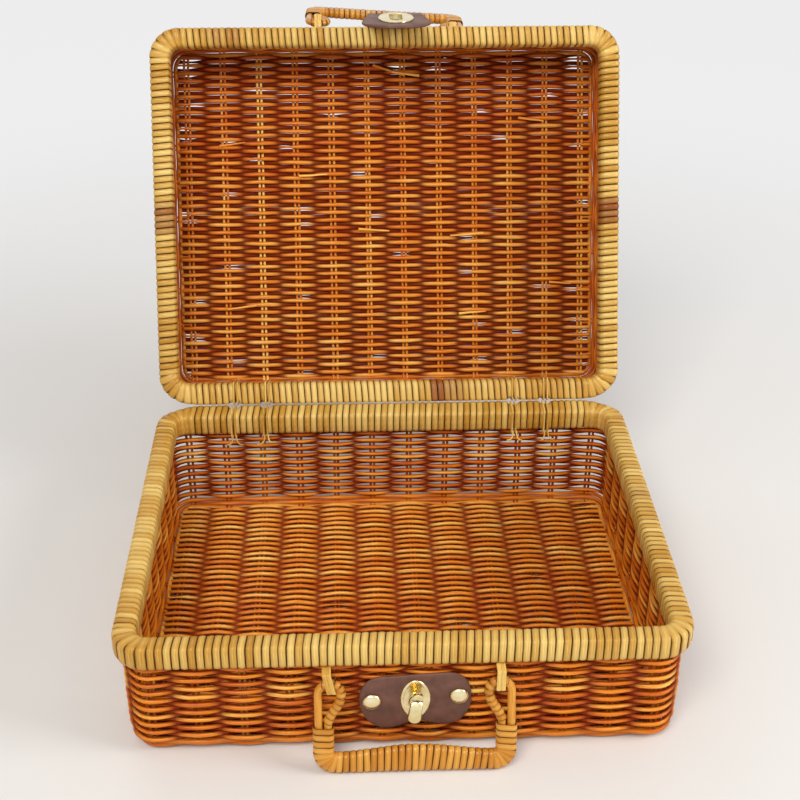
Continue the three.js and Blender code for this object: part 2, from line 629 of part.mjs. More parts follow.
// Lever: a post held behind the plate by its flange, and a rounded bar in front
function lockLever() {
  const flangeFace = PATCH_FACE;
  const post = turned([
    [0, flangeFace - FLANGE_THICKNESS], [POST_FLANGE / 2, flangeFace - FLANGE_THICKNESS],
    [POST_FLANGE / 2, flangeFace], [POST_DIAMETER / 2, flangeFace],
    [POST_DIAMETER / 2, LEVER_FACE + LEVER_THICKNESS / 2], [0, LEVER_FACE + LEVER_THICKNESS / 2],
  ], 16);
  const count = 16;
  const edge = LEVER_THICKNESS / 4;
  const ring = (inset, z) => slotRing(LEVER_WIDTH / 2 - inset, LEVER_LENGTH / 2 - inset, z, count);
  const bar = skin([
    ring(edge, LEVER_FACE), ring(0, LEVER_FACE + edge),
    ring(0, LEVER_FACE + LEVER_THICKNESS - edge), ring(edge, LEVER_FACE + LEVER_THICKNESS),
  ]);
  return join(bar, [post]);
}

// Leather strip of even thickness along a centre line in the Y-Z plane, as an outline
function stripOutline(points) {
  const half = TAB_THICKNESS / 2;
  const sides = points.map((point, i) => {
    const along = points[Math.min(i + 1, points.length - 1)].clone().sub(points[Math.max(i - 1, 0)]).normalize();
    const across = new THREE.Vector2(-along.y, along.x).multiplyScalar(half);
    return [point.clone().add(across), point.clone().sub(across)];
  });
  return new THREE.Shape([...sides.map(([left]) => left), ...sides.map(([, right]) => right).reverse()]);
}

// Tab, fixed part: flat on the lid wall, out over the rim, and down to the fold
const ANCHOR_BASE = BASE_HEIGHT + RIM_BACK;
const ANCHOR_RIVET_Z = ANCHOR_BASE + (ANCHOR_BEND + ANCHOR_HEIGHT) / 2;
function tabAnchor() {
  const wallY = -(WALL_OUTER + SEAT_GAP + TAB_THICKNESS / 2);
  const top = ANCHOR_BASE + ANCHOR_HEIGHT;
  const bend = new THREE.CubicBezierCurve(
    new THREE.Vector2(wallY, ANCHOR_BASE + ANCHOR_BEND),
    new THREE.Vector2(wallY, ANCHOR_BASE + ANCHOR_BEND / 2),
    new THREE.Vector2(TAB_Y, ANCHOR_BASE + ANCHOR_BEND / 2),
    new THREE.Vector2(TAB_Y, ANCHOR_BASE),
  );
  const line = [new THREE.Vector2(wallY, top), ...bend.getPoints(6), new THREE.Vector2(TAB_Y, FOLD_Z + FOLD_GAP)];
  const strip = band(stripOutline(line), FITTING_X, 2 * STRAP_WIDTH);
  const front = roundedBox(
    new THREE.Shape(), [FITTING_X - STRAP_WIDTH / 2, FITTING_X + STRAP_WIDTH / 2], [FOLD_Z, top],
    [ANCHOR_CORNER, ANCHOR_CORNER, 0, 0],
  );
  const face = new THREE.ExtrudeGeometry(front, { depth: RIM_DEPTH, bevelEnabled: false, curveSegments: 3 })
    .rotateX(Math.PI / 2);
  const holes = [-ANCHOR_RIVET_SPREAD, ANCHOR_RIVET_SPREAD].map((x) => new THREE.CylinderGeometry(
    RIVET_SHANK / 2 + SEAT_GAP, RIVET_SHANK / 2 + SEAT_GAP, 4 * TAB_THICKNESS, 12,
  ).translate(FITTING_X + x, wallY, ANCHOR_RIVET_Z));
  return cut(common(strip, face), holes);
}

// Strip hanging down from a fold line at the origin, with a round upper end
function hangingStrip(length, width) {
  const outline = new THREE.Shape();
  outline.absarc(0, 0, FOLD_RADIUS, 0, Math.PI);
  outline.lineTo(-FOLD_RADIUS, -length);
  outline.lineTo(FOLD_RADIUS, -length);
  outline.closePath();
  return band(outline, 0, width, 3);
}

// Free flap: widens to a rounded end and has the slot for the lever
function tabFlap() {
  const half = FLAP_WIDTH / 2;
  const square = FLAP_LENGTH - FLAP_ROUND;
  const outline = new THREE.Shape();
  outline.moveTo(STRAP_WIDTH / 2, FOLD_GAP);
  outline.lineTo(-STRAP_WIDTH / 2, FOLD_GAP);
  outline.lineTo(-half, -square);
  outline.absellipse(0, -square, half, FLAP_ROUND, Math.PI, 2 * Math.PI);
  outline.closePath();
  const room = EYELET_COLLAR + SEAT_GAP;
  const slot = slotRing(SLOT_WIDTH / 2 + room, SLOT_LENGTH / 2 + room, 0, 20);
  outline.holes.push(new THREE.Path(slot.map((point) => new THREE.Vector2(point.x, point.y + EYELET_Y))));
  const face = new THREE.ExtrudeGeometry(outline, { depth: 4 * TAB_THICKNESS, bevelEnabled: false, curveSegments: 6 })
    .translate(0, 0, -2 * TAB_THICKNESS).rotateX(Math.PI / 2);
  return common(hangingStrip(FLAP_LENGTH, FLAP_WIDTH), face);
}

// Eyelet, measured outwards from the middle of the leather: the front plate's collar lines the slot
const EYELET_Y = LOCK_Z - CREST_Z;
const EYELET_COUNT = 24;
const EYELET_BACK = -(TAB_THICKNESS / 2 + SEAT_GAP);
function eyeletFront() {
  const under = TAB_THICKNESS / 2 + SEAT_GAP;
  const top = under + EYELET_THICKNESS;
  const oval = (inset, z) => ovalRing(EYELET_WIDTH / 2 - inset, EYELET_LENGTH / 2 - inset, z, EYELET_COUNT);
  const slot = (grow, z) => slotRing(SLOT_WIDTH / 2 + grow, SLOT_LENGTH / 2 + grow, z, EYELET_COUNT);
  return skin([
    slot(0, EYELET_BACK - BACK_PLATE_THICKNESS), slot(EYELET_COLLAR, EYELET_BACK - BACK_PLATE_THICKNESS),
    slot(EYELET_COLLAR, under), oval(0, under), oval(0, under + EYELET_THICKNESS / 2),
    oval(2 * EYELET_THICKNESS, top), slot(0, top),
  ], true).translate(0, EYELET_Y, 0);
}

function eyeletBack() {
  const room = EYELET_COLLAR + SEAT_GAP;
  const far = EYELET_BACK - BACK_PLATE_THICKNESS;
  const oval = (z) => ovalRing(
    EYELET_WIDTH / 2 - BACK_PLATE_INSET, EYELET_LENGTH / 2 - BACK_PLATE_INSET, z, EYELET_COUNT,
  );
  const slot = (z) => slotRing(SLOT_WIDTH / 2 + room, SLOT_LENGTH / 2 + room, z, EYELET_COUNT);
  return skin([slot(EYELET_BACK), oval(EYELET_BACK), oval(far), slot(far)], true).translate(0, EYELET_Y, 0);
}

// Scene graph
function addMesh(parent, name, geometry, finish) {
  const mesh = new THREE.Mesh(tidy(geometry), new THREE.MeshStandardMaterial(finish));
  mesh.name = name;
  parent.add(mesh);
  return mesh;
}

function addGroup(parent, name, x, y, z) {
  const group = new THREE.Group();
  group.name = name;
  group.position.set(x, y, z);
  parent.add(group);
  return group;
}

// One tray with its rim and ties, shut in place
function addTray(parent, name, side, height, handleX, rivets, pivots) {
  addMesh(parent, `${name}_weave`, cut(wovenTray(side, height), trayWindows(side, handleX, rivets)), WICKER);
  addMesh(parent, `${name}_rim_outer_hoop`, rimHoop(side, 1), ROD_WOOD);
  addMesh(parent, `${name}_rim_inner_hoop`, rimHoop(side, -1), ROD_WOOD);
  addMesh(parent, `${name}_rim_binding`, rimBinding(side), STRAW_CANE);
  HINGE_TIE_PLACES.forEach((x, i) => {
    addMesh(parent, `${name}_hinge_tie_${i + 1}`, hingeTie(side, x), STRAW_CANE);
  });
  addMesh(parent, `${name}_handle_tie_left`, handleTie(side, handleX - EYE_CENTRE, pivots.left), STRAW_CANE);
  addMesh(parent, `${name}_handle_tie_right`, handleTie(side, handleX + EYE_CENTRE, pivots.right), STRAW_CANE);
}

function addHandle(parent, name) {
  addMesh(parent, `${name}_rod`, handleRod(), ROD_WOOD);
  addMesh(parent, `${name}_binding`, handleBinding(), HANDLE_CANE);
}

function addRivets(parent, name, spread, under) {
  [['left', -spread], ['right', spread]].forEach(([side, x]) => {
    addMesh(parent, `${name}_rivet_${side}`, rivet(under), BRASS).position.x = x;
    addMesh(parent, `${name}_rivet_burr_${side}`, burr(), BRASS).position.x = x;
  });
}

const basket = new THREE.Group();
basket.name = 'picnic_basket';

// Base: tray, patch, lock and handle. The patch frame looks outwards from the front wall.
const base = addGroup(basket, 'base', 0, 0, 0);
const tiltedSpread = [-1, 1].map((side) => [
  FITTING_X + side * RIVET_SPREAD * Math.cos(radians(PATCH_TILT)),
  LOCK_Z + side * RIVET_SPREAD * Math.sin(radians(PATCH_TILT)),
]);
addTray(base, 'base', BASE_SIDE, BASE_HEIGHT, BASE_HANDLE_X, tiltedSpread, { left: PIVOT_Y, right: PIVOT_Y });

const lockFrame = addGroup(base, 'lock_frame', FITTING_X, -WALL_OUTER, LOCK_Z);
lockFrame.rotation.x = Math.PI / 2;
const patchFrame = addGroup(lockFrame, 'patch_frame', 0, 0, 0);
patchFrame.rotation.z = radians(PATCH_TILT);
addMesh(patchFrame, 'lock_patch', lockPatch(), LEATHER);
addRivets(patchFrame, 'patch', RIVET_SPREAD, PATCH_FACE);
addMesh(lockFrame, 'lock_plate', lockPlate(), BRASS);
const lever = addGroup(lockFrame, 'lock_lever', 0, 0, 0);
lever.rotation.z = -radians(LEVER_TILT);
addMesh(lever, 'lock_lever', lockLever(), BRASS);

// The base handle hangs from its eyes and leans out where the grip meets the ground
const pivotHeight = BASE_HEIGHT - HANDLE_DROP;
const gripFlat = HALF_BOUND * (1 - WRAP_CHAMFER);
const reach = Math.hypot(HANDLE_LENGTH, gripFlat);
const lean = Math.acos(Math.min(1, (pivotHeight - GROUND_GAP) / reach)) + Math.atan2(gripFlat, HANDLE_LENGTH);
const baseHandle = addGroup(base, 'base_handle', BASE_HANDLE_X, -PIVOT_Y, pivotHeight);
baseHandle.rotation.x = -lean;
addHandle(baseHandle, 'base_handle');

// Lid: drawn shut, then turned back about the hinge line
const lidHinge = addGroup(basket, 'lid', 0, HINGE_Y, BASE_HEIGHT);
lidHinge.rotation.x = -radians(LID_OPENING);
const lid = addGroup(lidHinge, 'lid_shut', 0, -HINGE_Y, -BASE_HEIGHT);
const anchorRivets = [-1, 1].map((side) => [FITTING_X + side * ANCHOR_RIVET_SPREAD, ANCHOR_RIVET_Z]);
const lidPivots = { left: PIVOT_Y + LID_TIE_SLACK, right: PIVOT_Y };
addTray(lid, 'lid', LID_SIDE, LID_HEIGHT, LID_HANDLE_X, anchorRivets, lidPivots);

// The lid handle is folded back and stands off the lid wall, its left eye further out by its tie's slack
const lidHandle = addGroup(
  lid, 'lid_handle', LID_HANDLE_X, -PIVOT_Y - LID_TIE_SLACK / 2, BASE_HEIGHT + HANDLE_DROP,
);
const askew = Math.asin(LID_TIE_SLACK / (2 * EYE_CENTRE));
lidHandle.rotation.set(Math.PI + radians(LID_HANDLE_LIFT), 0, askew, 'ZYX');
addHandle(lidHandle, 'lid_handle');

// Leather tab: fixed part, strap and flap
addMesh(lid, 'tab_anchor', tabAnchor(), LEATHER);
const anchorFrame = addGroup(lid, 'anchor_frame', FITTING_X, -WALL_OUTER, ANCHOR_RIVET_Z);
anchorFrame.rotation.x = Math.PI / 2;
addRivets(anchorFrame, 'tab', ANCHOR_RIVET_SPREAD, SEAT_GAP + TAB_THICKNESS);
const strap = addGroup(lid, 'tab_strap', FITTING_X, TAB_Y, FOLD_Z);
strap.rotation.x = -radians(STRAP_LIFT);
addMesh(strap, 'tab_strap', hangingStrip(STRAP_LENGTH - FOLD_GAP, STRAP_WIDTH), LEATHER);
const flap = addGroup(strap, 'tab_flap', 0, 0, -STRAP_LENGTH);
flap.rotation.x = radians(STRAP_LIFT + FLAP_DROOP);
addMesh(flap, 'tab_flap', tabFlap(), LEATHER);
const eyeletFrame = addGroup(flap, 'eyelet_frame', 0, 0, 0);
eyeletFrame.rotation.x = Math.PI / 2;
addMesh(eyeletFrame, 'eyelet_front', eyeletFront(), BRASS);
addMesh(eyeletFrame, 'eyelet_back', eyeletBack(), BRASS);

export default basket;
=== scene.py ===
# %% [markdown]
# # A wicker picnic suitcase
# Two shallow trays are woven from thin willow rods, bound along their rims with split cane and tied
# together at the back. The solids of the part give every place and size. The scene dresses them: rods in
# place of plain sheets, single turns of cane in place of sleeves, soft leather and bright brass.

# %% Load the frame
import math
import random
import bmesh
import bpy
import numpy as np
from mathutils import Matrix, Vector


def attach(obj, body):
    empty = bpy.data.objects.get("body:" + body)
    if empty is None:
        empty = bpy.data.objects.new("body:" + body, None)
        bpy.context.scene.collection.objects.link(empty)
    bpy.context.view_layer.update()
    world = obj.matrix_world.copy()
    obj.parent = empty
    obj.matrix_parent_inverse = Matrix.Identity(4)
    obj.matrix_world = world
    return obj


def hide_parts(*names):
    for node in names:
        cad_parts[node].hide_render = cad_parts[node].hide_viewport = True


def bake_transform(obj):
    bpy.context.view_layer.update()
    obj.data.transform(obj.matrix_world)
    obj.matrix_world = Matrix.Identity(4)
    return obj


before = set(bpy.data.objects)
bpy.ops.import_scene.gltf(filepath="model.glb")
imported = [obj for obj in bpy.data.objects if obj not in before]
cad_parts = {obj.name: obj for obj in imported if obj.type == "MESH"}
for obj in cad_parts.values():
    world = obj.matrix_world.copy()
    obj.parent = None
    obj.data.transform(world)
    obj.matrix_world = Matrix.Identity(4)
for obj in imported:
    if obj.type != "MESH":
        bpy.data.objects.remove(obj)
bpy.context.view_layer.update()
scene = bpy.context.scene
MM = 0.001

# %% [markdown]
# ## Camera
# A basket is looked into from the front and from above. A camera can be aimed by hand, but this one was
# fitted to the corners of both rims, so its place, its turn and its lens are set as numbers.

# %% Camera
def camera_turn(yaw, pitch, roll):
    """Turn of a camera that looks along Y, swung right, tipped down and leaned, all in degrees."""
    yaw, pitch, roll = (math.radians(angle) for angle in (yaw, pitch, roll))
    forward = Vector((math.sin(yaw) * math.cos(pitch), math.cos(yaw) * math.cos(pitch), -math.sin(pitch)))
    level = Vector((math.cos(yaw), -math.sin(yaw), 0))
    upright = level.cross(forward)
    right = math.cos(roll) * level + math.sin(roll) * upright
    up = math.cos(roll) * upright - math.sin(roll) * level
    return Matrix((right, up, -forward)).transposed().to_4x4()


CAMERA_PLACE = Vector((-27.9, -699.5, 564.5)) * MM
optics = bpy.data.cameras.new("camera")
optics.sensor_width = 36
optics.lens = 62.02
optics.clip_end = 50
camera = bpy.data.objects.new("camera", optics)
camera.matrix_world = Matrix.Translation(CAMERA_PLACE) @ camera_turn(yaw=2.39, pitch=30.21, roll=0.31)
scene.collection.objects.link(camera)
scene.camera = camera
scene.view_settings.view_transform = "Standard"
print("camera", [round(value, 3) for value in camera.location])

# %% [markdown]
# ## Helpers for nodes and meshes
# Shapes and finishes below are node trees. A node that is set by hand takes four or five lines, so small
# functions make a node, set or link its inputs and hand back its output. One more makes a mesh object from
# points in millimetres, with named values at its points that trees and finishes can read.

# %% Colours from hex
def paint(code):
    """Linear colour from a hex code."""
    parts = [int(code[i:i + 2], 16) / 255 for i in (0, 2, 4)]
    return tuple(p / 12.92 if p <= 0.04045 else ((p + 0.055) / 1.055) ** 2.4 for p in parts) + (1.0,)


# %% Nodes
def feed(tree, node, inputs):
    """Sets or links inputs of a node: each is a value or another node's output."""
    for key, value in inputs.items():
        if isinstance(value, bpy.types.NodeSocket):
            tree.links.new(value, node.inputs[key])
        else:
            node.inputs[key].default_value = value


def put(tree, kind, inputs=None, **settings):
    """A new node with its settings and inputs."""
    node = tree.nodes.new(kind)
    for key, value in settings.items():
        setattr(node, key, value)
    feed(tree, node, inputs or {})
    return node


def made(tree, kind, inputs=None, **settings):
    """First output of a new node."""
    return put(tree, kind, inputs, **settings).outputs[0]


# %% Sums with nodes
def calc(tree, operation, *values):
    return made(tree, "ShaderNodeMath", dict(enumerate(values)), operation=operation)


def vector_calc(tree, operation, *values, output=0):
    node = put(tree, "ShaderNodeVectorMath", dict(enumerate(values)), operation=operation)
    return node.outputs[output]


def scaled(tree, vector, factor):
    return made(tree, "ShaderNodeVectorMath", {0: vector, "Scale": factor}, operation="SCALE")


def ranged(tree, value, low, high, first=0.0, last=1.0, ease="LINEAR"):
    """Maps low to high onto first to last and holds the ends."""
    inputs = dict(enumerate((value, low, high, first, last)))
    return made(tree, "ShaderNodeMapRange", inputs, interpolation_type=ease)


# %% Mesh objects
def new_piece(name, points, edges=(), faces=(), values=None):
    """Mesh object through points in mm, with named values at its points."""
    mesh = bpy.data.meshes.new(name)
    mesh.from_pydata((np.asarray(points, float) * MM).tolist(), edges, faces)
    for key, value in (values or {}).items():
        value = np.asarray(value, np.float32)
        kind, field = ("FLOAT_VECTOR", "vector") if value.ndim == 2 else ("FLOAT", "value")
        mesh.attributes.new(key, kind, "POINT").data.foreach_set(field, value.ravel())
    piece = bpy.data.objects.new(name, mesh)
    scene.collection.objects.link(piece)
    return piece


# %% [markdown]
# ## Floor and light
# The basket stands on a pale floor in a bright room. A broad lamp over the front edge gives the long soft
# highlights on varnished rods, and weaker ones keep the inside of the trays readable. A curved backdrop
# could hide the horizon. Here the floor fades into an even pale tone with distance, which needs no shape.

# %% Floor
def new_finish(name):
    """A new material, its node tree and its shader."""
    material = bpy.data.materials.new(name)
    material.use_nodes = True
    return material, material.node_tree, material.node_tree.nodes["Principled BSDF"]


floor_corners = [(-6000, -4000, 0), (6000, -4000, 0), (6000, 8000, 0), (-6000, 8000, 0)]
floor = new_piece("floor", floor_corners, faces=[(0, 1, 2, 3)])
pale, ground, lit = new_finish("pale floor")
feed(ground, lit, {"Base Color": paint("e4e3e1"), "Roughness": 0.7})
backdrop = made(ground, "ShaderNodeEmission", {"Color": paint("f1f1f2")})
underfoot = put(ground, "ShaderNodeTexCoord").outputs["Object"]
away = vector_calc(ground, "LENGTH", underfoot, output="Value")
fade = ranged(ground, away, 0.2, 1.1, 0.0, 0.9, "SMOOTHSTEP")
seen = put(ground, "ShaderNodeLightPath").outputs["Is Camera Ray"]
share = calc(ground, "MULTIPLY", seen, fade)
both = made(ground, "ShaderNodeMixShader", {0: share, 1: lit.outputs[0], 2: backdrop})
feed(ground, ground.nodes["Material Output"], {"Surface": both})
floor.data.materials.append(pale)
print("floor with", len(ground.nodes), "nodes in its finish")


# %% Lamps
def lamp(name, place, aim, width, depth, power, tint):
    """Rectangular lamp that shines from a place at an aim, both in metres."""
    light = bpy.data.lights.new(name, "AREA")
    light.shape = "RECTANGLE"
    light.size = width
    light.size_y = depth
    light.energy = power
    light.color = paint(tint)[:3]
    holder = bpy.data.objects.new(name, light)
    turn = (Vector(aim) - Vector(place)).to_track_quat("-Z", "Y").to_matrix().to_4x4()
    holder.matrix_world = Matrix.Translation(place) @ turn
    scene.collection.objects.link(holder)


lamp("front lamp", (-0.5, -1.5, 1.9), (0, 0.05, 0.1), width=1.2, depth=0.9, power=36, tint="fff8ee")
lamp("side lamp", (1.6, -0.5, 1.1), (0, 0.05, 0.15), width=0.8, depth=0.8, power=18, tint="ffffff")
lamp("back lamp", (-0.6, 1.6, 1.6), (0, 0.1, 0.15), width=1.2, depth=0.8, power=5, tint="ffffff")

# %% Pale surroundings
world = bpy.data.worlds.new("pale room")
world.use_nodes = True
scene.world = world
room = world.node_tree
room.nodes.clear()
rays = put(room, "ShaderNodeLightPath").outputs
seen = calc(room, "MAXIMUM", rays["Is Camera Ray"], rays["Is Glossy Ray"])
strength = ranged(room, seen, 0.0, 1.0, 0.42, 1.0)
sky = made(room, "ShaderNodeBackground", {"Color": paint("f3f3f4"), "Strength": strength})
put(room, "ShaderNodeOutputWorld", {"Surface": sky})
print("world", world.name)

# %% [markdown]
# ## Finishes of willow and cane
# Willow, cane and handle binding are all split or peeled plant stems with fibres that run along the strand.
# A picture of wood could be wrapped round them, but it would stretch on every bend. So one group draws the
# fibres from a strand's own coordinates, another the slow blotches of age, and each finish mixes them with
# its own colours. Every strand also carries a tone, because no two rods are alike, and rows of floor and
# panel get lighter from front to back, which is a painted shade. The lid's willow is redder and the base's
# more golden. The sides that face into the weave are dull, and a painted shade makes them dark.

# %% Group of fibres along a strand
def group_tree(name, inputs, outputs):
    """A new shader group; an input of None takes a vector, and a number is an input's usual value."""
    tree = bpy.data.node_groups.new(name, "ShaderNodeTree")
    for label, value in inputs.items():
        kind = "NodeSocketVector" if value is None else "NodeSocketFloat"
        socket = tree.interface.new_socket(label, in_out="INPUT", socket_type=kind)
        if value is not None:
            socket.default_value = value
    for label in outputs:
        tree.interface.new_socket(label, in_out="OUTPUT", socket_type="NodeSocketFloat")
    return tree, put(tree, "NodeGroupInput").outputs, put(tree, "NodeGroupOutput")


fibre_inputs = {"Strand": None, "Length": 14.0, "Width": 0.35}
fibres, given, end = group_tree("strand fibres", fibre_inputs, ["Streak", "Height"])
pace = made(fibres, "ShaderNodeCombineXYZ", {0: given["Length"], 1: given["Width"], 2: 1.0})
spot = vector_calc(fibres, "DIVIDE", given["Strand"], pace)
grain = made(fibres, "ShaderNodeTexNoise", {"Vector": spot, "Scale": 1.0, "Detail": 3.0, "Roughness": 0.6})
feed(fibres, end, {"Streak": ranged(fibres, grain, 0.3, 0.7), "Height": grain})
print("group", fibres.name)

# %% Group of slow blotches
blotches, given, end = group_tree("blotches of age", {"Size": 0.03}, ["Blotch"])
where = put(blotches, "ShaderNodeTexCoord").outputs["Object"]
near = scaled(blotches, where, calc(blotches, "DIVIDE", 1.0, given["Size"]))
cloud = made(blotches, "ShaderNodeTexNoise", {"Vector": near, "Scale": 1.0, "Detail": 4.0})
feed(blotches, end, {"Blotch": ranged(blotches, cloud, 0.3, 0.7)})
print("group", blotches.name)


def aged(tree, size):
    """Slow blotches of a size in metres."""
    return put(tree, "ShaderNodeGroup", {"Size": size}, node_tree=blotches).outputs["Blotch"]


# %% Colour of a strand
def attribute(tree, name, kind="Fac"):
    return put(tree, "ShaderNodeAttribute", attribute_name=name).outputs[kind]


def mixed(tree, share, first, second):
    return put(tree, "ShaderNodeMix", {0: share, 6: first, 7: second}, data_type="RGBA").outputs[2]


def colour_ramp(tree, shade, stops):
    """Colour for a shade, from stops of place and hex code."""
    ramp = put(tree, "ShaderNodeValToRGB", {0: shade})
    elements = ramp.color_ramp.elements
    for element, (place, code) in zip(elements, (stops[0], stops[-1])):
        element.position = place
        element.color = paint(code)
    for place, code in stops[1:-1]:
        elements.new(place).color = paint(code)
    return ramp.outputs[0]


# %% Strand finish
def strand_finish(name, stops, gap, splice="6b2f0c", gloss=0.32, coat=0.28, fibre_width=0.3, bump=0.25):
    """Varnished strand: tone, fibres and age pick its colour, splices are darker, painted shade darkens
    inner sides.
    """
    material, tree, shader = new_finish(name)
    strand = attribute(tree, "strand", "Vector")
    grain = put(tree, "ShaderNodeGroup", {"Strand": strand, "Width": fibre_width}, node_tree=fibres).outputs
    own_tone = calc(tree, "MULTIPLY", attribute(tree, "tone"), 0.5)
    shade = calc(tree, "MULTIPLY_ADD", grain["Streak"], 0.42, own_tone)
    shade = calc(tree, "MULTIPLY_ADD", aged(tree, 0.022), 0.16, shade)
    # Painted shade from the rod tree and the cane turns: it mixes in a dark colour, and there the varnish
    # is rougher and has no coat.
    painted_shade_mask = attribute(tree, "gap")
    unshaded = calc(tree, "SUBTRACT", 1.0, painted_shade_mask)
    colour = mixed(tree, attribute(tree, "splice"), colour_ramp(tree, shade, stops), paint(splice))
    rough = ranged(tree, grain["Streak"], 0.0, 1.0, gloss + 0.14, gloss)
    relief = {"Height": grain["Height"], "Strength": bump, "Distance": 0.0004}
    feed(tree, shader, {
        "Base Color": mixed(tree, painted_shade_mask, colour, paint(gap)),
        "Roughness": calc(tree, "MULTIPLY_ADD", painted_shade_mask, 0.4, rough),
        "Coat Weight": calc(tree, "MULTIPLY", unshaded, coat),
        "Normal": made(tree, "ShaderNodeBump", relief),
        "Coat Roughness": 0.18,
        "Specular IOR Level": 0.12,
    })
    return material


# %% Willow and cane
willow = strand_finish(
    "willow", [(0.1, "8e2e03"), (0.36, "c3560a"), (0.62, "e3861e"), (0.88, "fdcc68")], gap="681400",
)
honey_willow = strand_finish(
    "honey willow", [(0.1, "903403"), (0.36, "ca5f09"), (0.62, "ec8e1d"), (0.88, "ffd26c")], gap="701800",
)
peeled_willow = strand_finish(
    "peeled willow", [(0.1, "9a5a1e"), (0.5, "c98e3c"), (1.0, "e6bd6a")], gap="4a2409",
    gloss=0.4, coat=0.25,
)
rim_cane = strand_finish(
    "rim cane", [(0.08, "a06a20"), (0.42, "cb973a"), (0.85, "f1cf7a")], gap="4e2806", splice="8f4415",
    gloss=0.36, coat=0.3, fibre_width=0.4, bump=0.2,
)
handle_cane = strand_finish(
    "handle cane", [(0.05, "93540f"), (0.48, "ca8323"), (0.92, "efb452")], gap="451f05", splice="7a3f14",
    gloss=0.28, coat=0.5, fibre_width=0.4, bump=0.2,
)
print("strand finishes", [m.name for m in (willow, honey_willow, peeled_willow, rim_cane, handle_cane)])

# %% [markdown]
# ## A tree for rods on guide lines
# Every rod of the weave follows a line on the wall, floor or panel and swings to one side and the other of
# the stakes. Hundreds of bent tubes could be modelled one by one. Instead, plain guide lines carry where
# each point is between two stakes and which way is out, and one tree does the rest. It swings the lines,
# gives them a round section that swells where the rod lies over a stake, paints shade on the sides that
# face into the weave, and keeps the strand coordinates for the finish.

# %% Guide lines
def guide(name, lines, closed):
    """Object of loose edges, one chain for each line of (points in mm, named values at those points)."""
    edges = []
    first = 0
    for points, _ in lines:
        last = first + len(points) - 1
        edges += [(i, i + 1) for i in range(first, last)]
        if closed:
            edges.append((last, first))
        first = last + 1
    values = {key: np.concatenate([extra[key] for _, extra in lines]) for key in lines[0][1]}
    return new_piece(name, np.concatenate([points for points, _ in lines]), edges, values=values)


def rod_values(count, phase, out, thick, tone):
    """What the rod tree reads at each of count points; one value serves them all."""
    return {
        "phase": np.broadcast_to(phase, count), "out": np.broadcast_to(out, (count, 3)),
        "thick": np.broadcast_to(thick, count), "tone": np.broadcast_to(tone, count),
    }


# %% Parts of a shape tree
def shape_tree(name, **inputs):
    """A new tree for shapes, with inputs given as name and kind, and the outputs of its input node."""
    tree = bpy.data.node_groups.new(name, "GeometryNodeTree")
    for label, kind in {"Geometry": "Geometry", **inputs}.items():
        tree.interface.new_socket(label, in_out="INPUT", socket_type=f"NodeSocket{kind}")
    tree.interface.new_socket("Geometry", in_out="OUTPUT", socket_type="NodeSocketGeometry")
    return tree, put(tree, "NodeGroupInput").outputs


def named(tree, name, kind="FLOAT"):
    return made(tree, "GeometryNodeInputNamedAttribute", {"Name": name}, data_type=kind)


def keep(tree, geometry, name, value, kind="FLOAT"):
    """Stores a value at each point under a name."""
    inputs = {"Geometry": geometry, "Name": name, "Value": value}
    return made(tree, "GeometryNodeStoreNamedAttribute", inputs, data_type=kind, domain="POINT")


def finish_tree(tree, geometry, material):
    solid = made(tree, "GeometryNodeRealizeInstances", {0: geometry})
    coated = made(tree, "GeometryNodeSetMaterial", {"Geometry": solid, "Material": material})
    put(tree, "NodeGroupOutput", {0: coated})


# %% Rod tree: the path
rods, given = shape_tree(
    "rods on guide lines", Radius="Float", Swing="Float", Step="Float", Waver="Float", Bulge="Float",
    Sides="Int", Seed="Float", Material="Material",
)
line = made(rods, "GeometryNodeMeshToCurve", {0: given["Geometry"]})
line = made(rods, "GeometryNodeResampleCurve", {"Curve": line, "Length": given["Step"]}, mode="LENGTH")
wave = calc(rods, "COSINE", calc(rods, "MULTIPLY", named(rods, "phase"), math.pi))
outward = named(rods, "out", "FLOAT_VECTOR")
swing = scaled(rods, outward, calc(rods, "MULTIPLY", wave, given["Swing"]))
here = made(rods, "GeometryNodeInputPosition")
noise = put(rods, "ShaderNodeTexNoise", {
    "Vector": here, "W": given["Seed"], "Scale": 60.0, "Detail": 1.0,
}, noise_dimensions="4D").outputs["Color"]
shake = scaled(rods, vector_calc(rods, "SUBTRACT", noise, (0.5, 0.5, 0.5)), given["Waver"])
offset = vector_calc(rods, "ADD", swing, shake)
line = made(rods, "GeometryNodeSetPosition", {"Geometry": line, "Offset": offset})
line = keep(rods, line, "along", put(rods, "GeometryNodeSplineParameter").outputs["Length"])
print("path of a rod", len(rods.nodes), "nodes")

# %% Rod tree: the body and the painted shade of its inner sides
section = made(rods, "GeometryNodeCurvePrimitiveCircle", {"Resolution": given["Sides"], "Radius": 1.0})
section = keep(rods, section, "around", put(rods, "GeometryNodeSplineParameter").outputs["Factor"])
half_bulge = calc(rods, "MULTIPLY_ADD", given["Bulge"], -0.5, 1.0)
lens = calc(rods, "MULTIPLY_ADD", calc(rods, "MULTIPLY", wave, wave), given["Bulge"], half_bulge)
thick = calc(rods, "MULTIPLY", calc(rods, "MULTIPLY", given["Radius"], lens), named(rods, "thick"))
body = made(rods, "GeometryNodeCurveToMesh", {
    "Curve": line, "Profile Curve": section, "Scale": thick, "Fill Caps": True,
})
strand = made(rods, "ShaderNodeCombineXYZ", {
    0: calc(rods, "MULTIPLY", named(rods, "along"), 1000.0),
    1: calc(rods, "MULTIPLY", named(rods, "around"), 6.0),
    2: calc(rods, "MULTIPLY", named(rods, "tone"), 90.0),
})
body = keep(rods, body, "strand", strand, "FLOAT_VECTOR")
normal = made(rods, "GeometryNodeInputNormal")
facing = vector_calc(rods, "DOT_PRODUCT", normal, outward, output="Value")
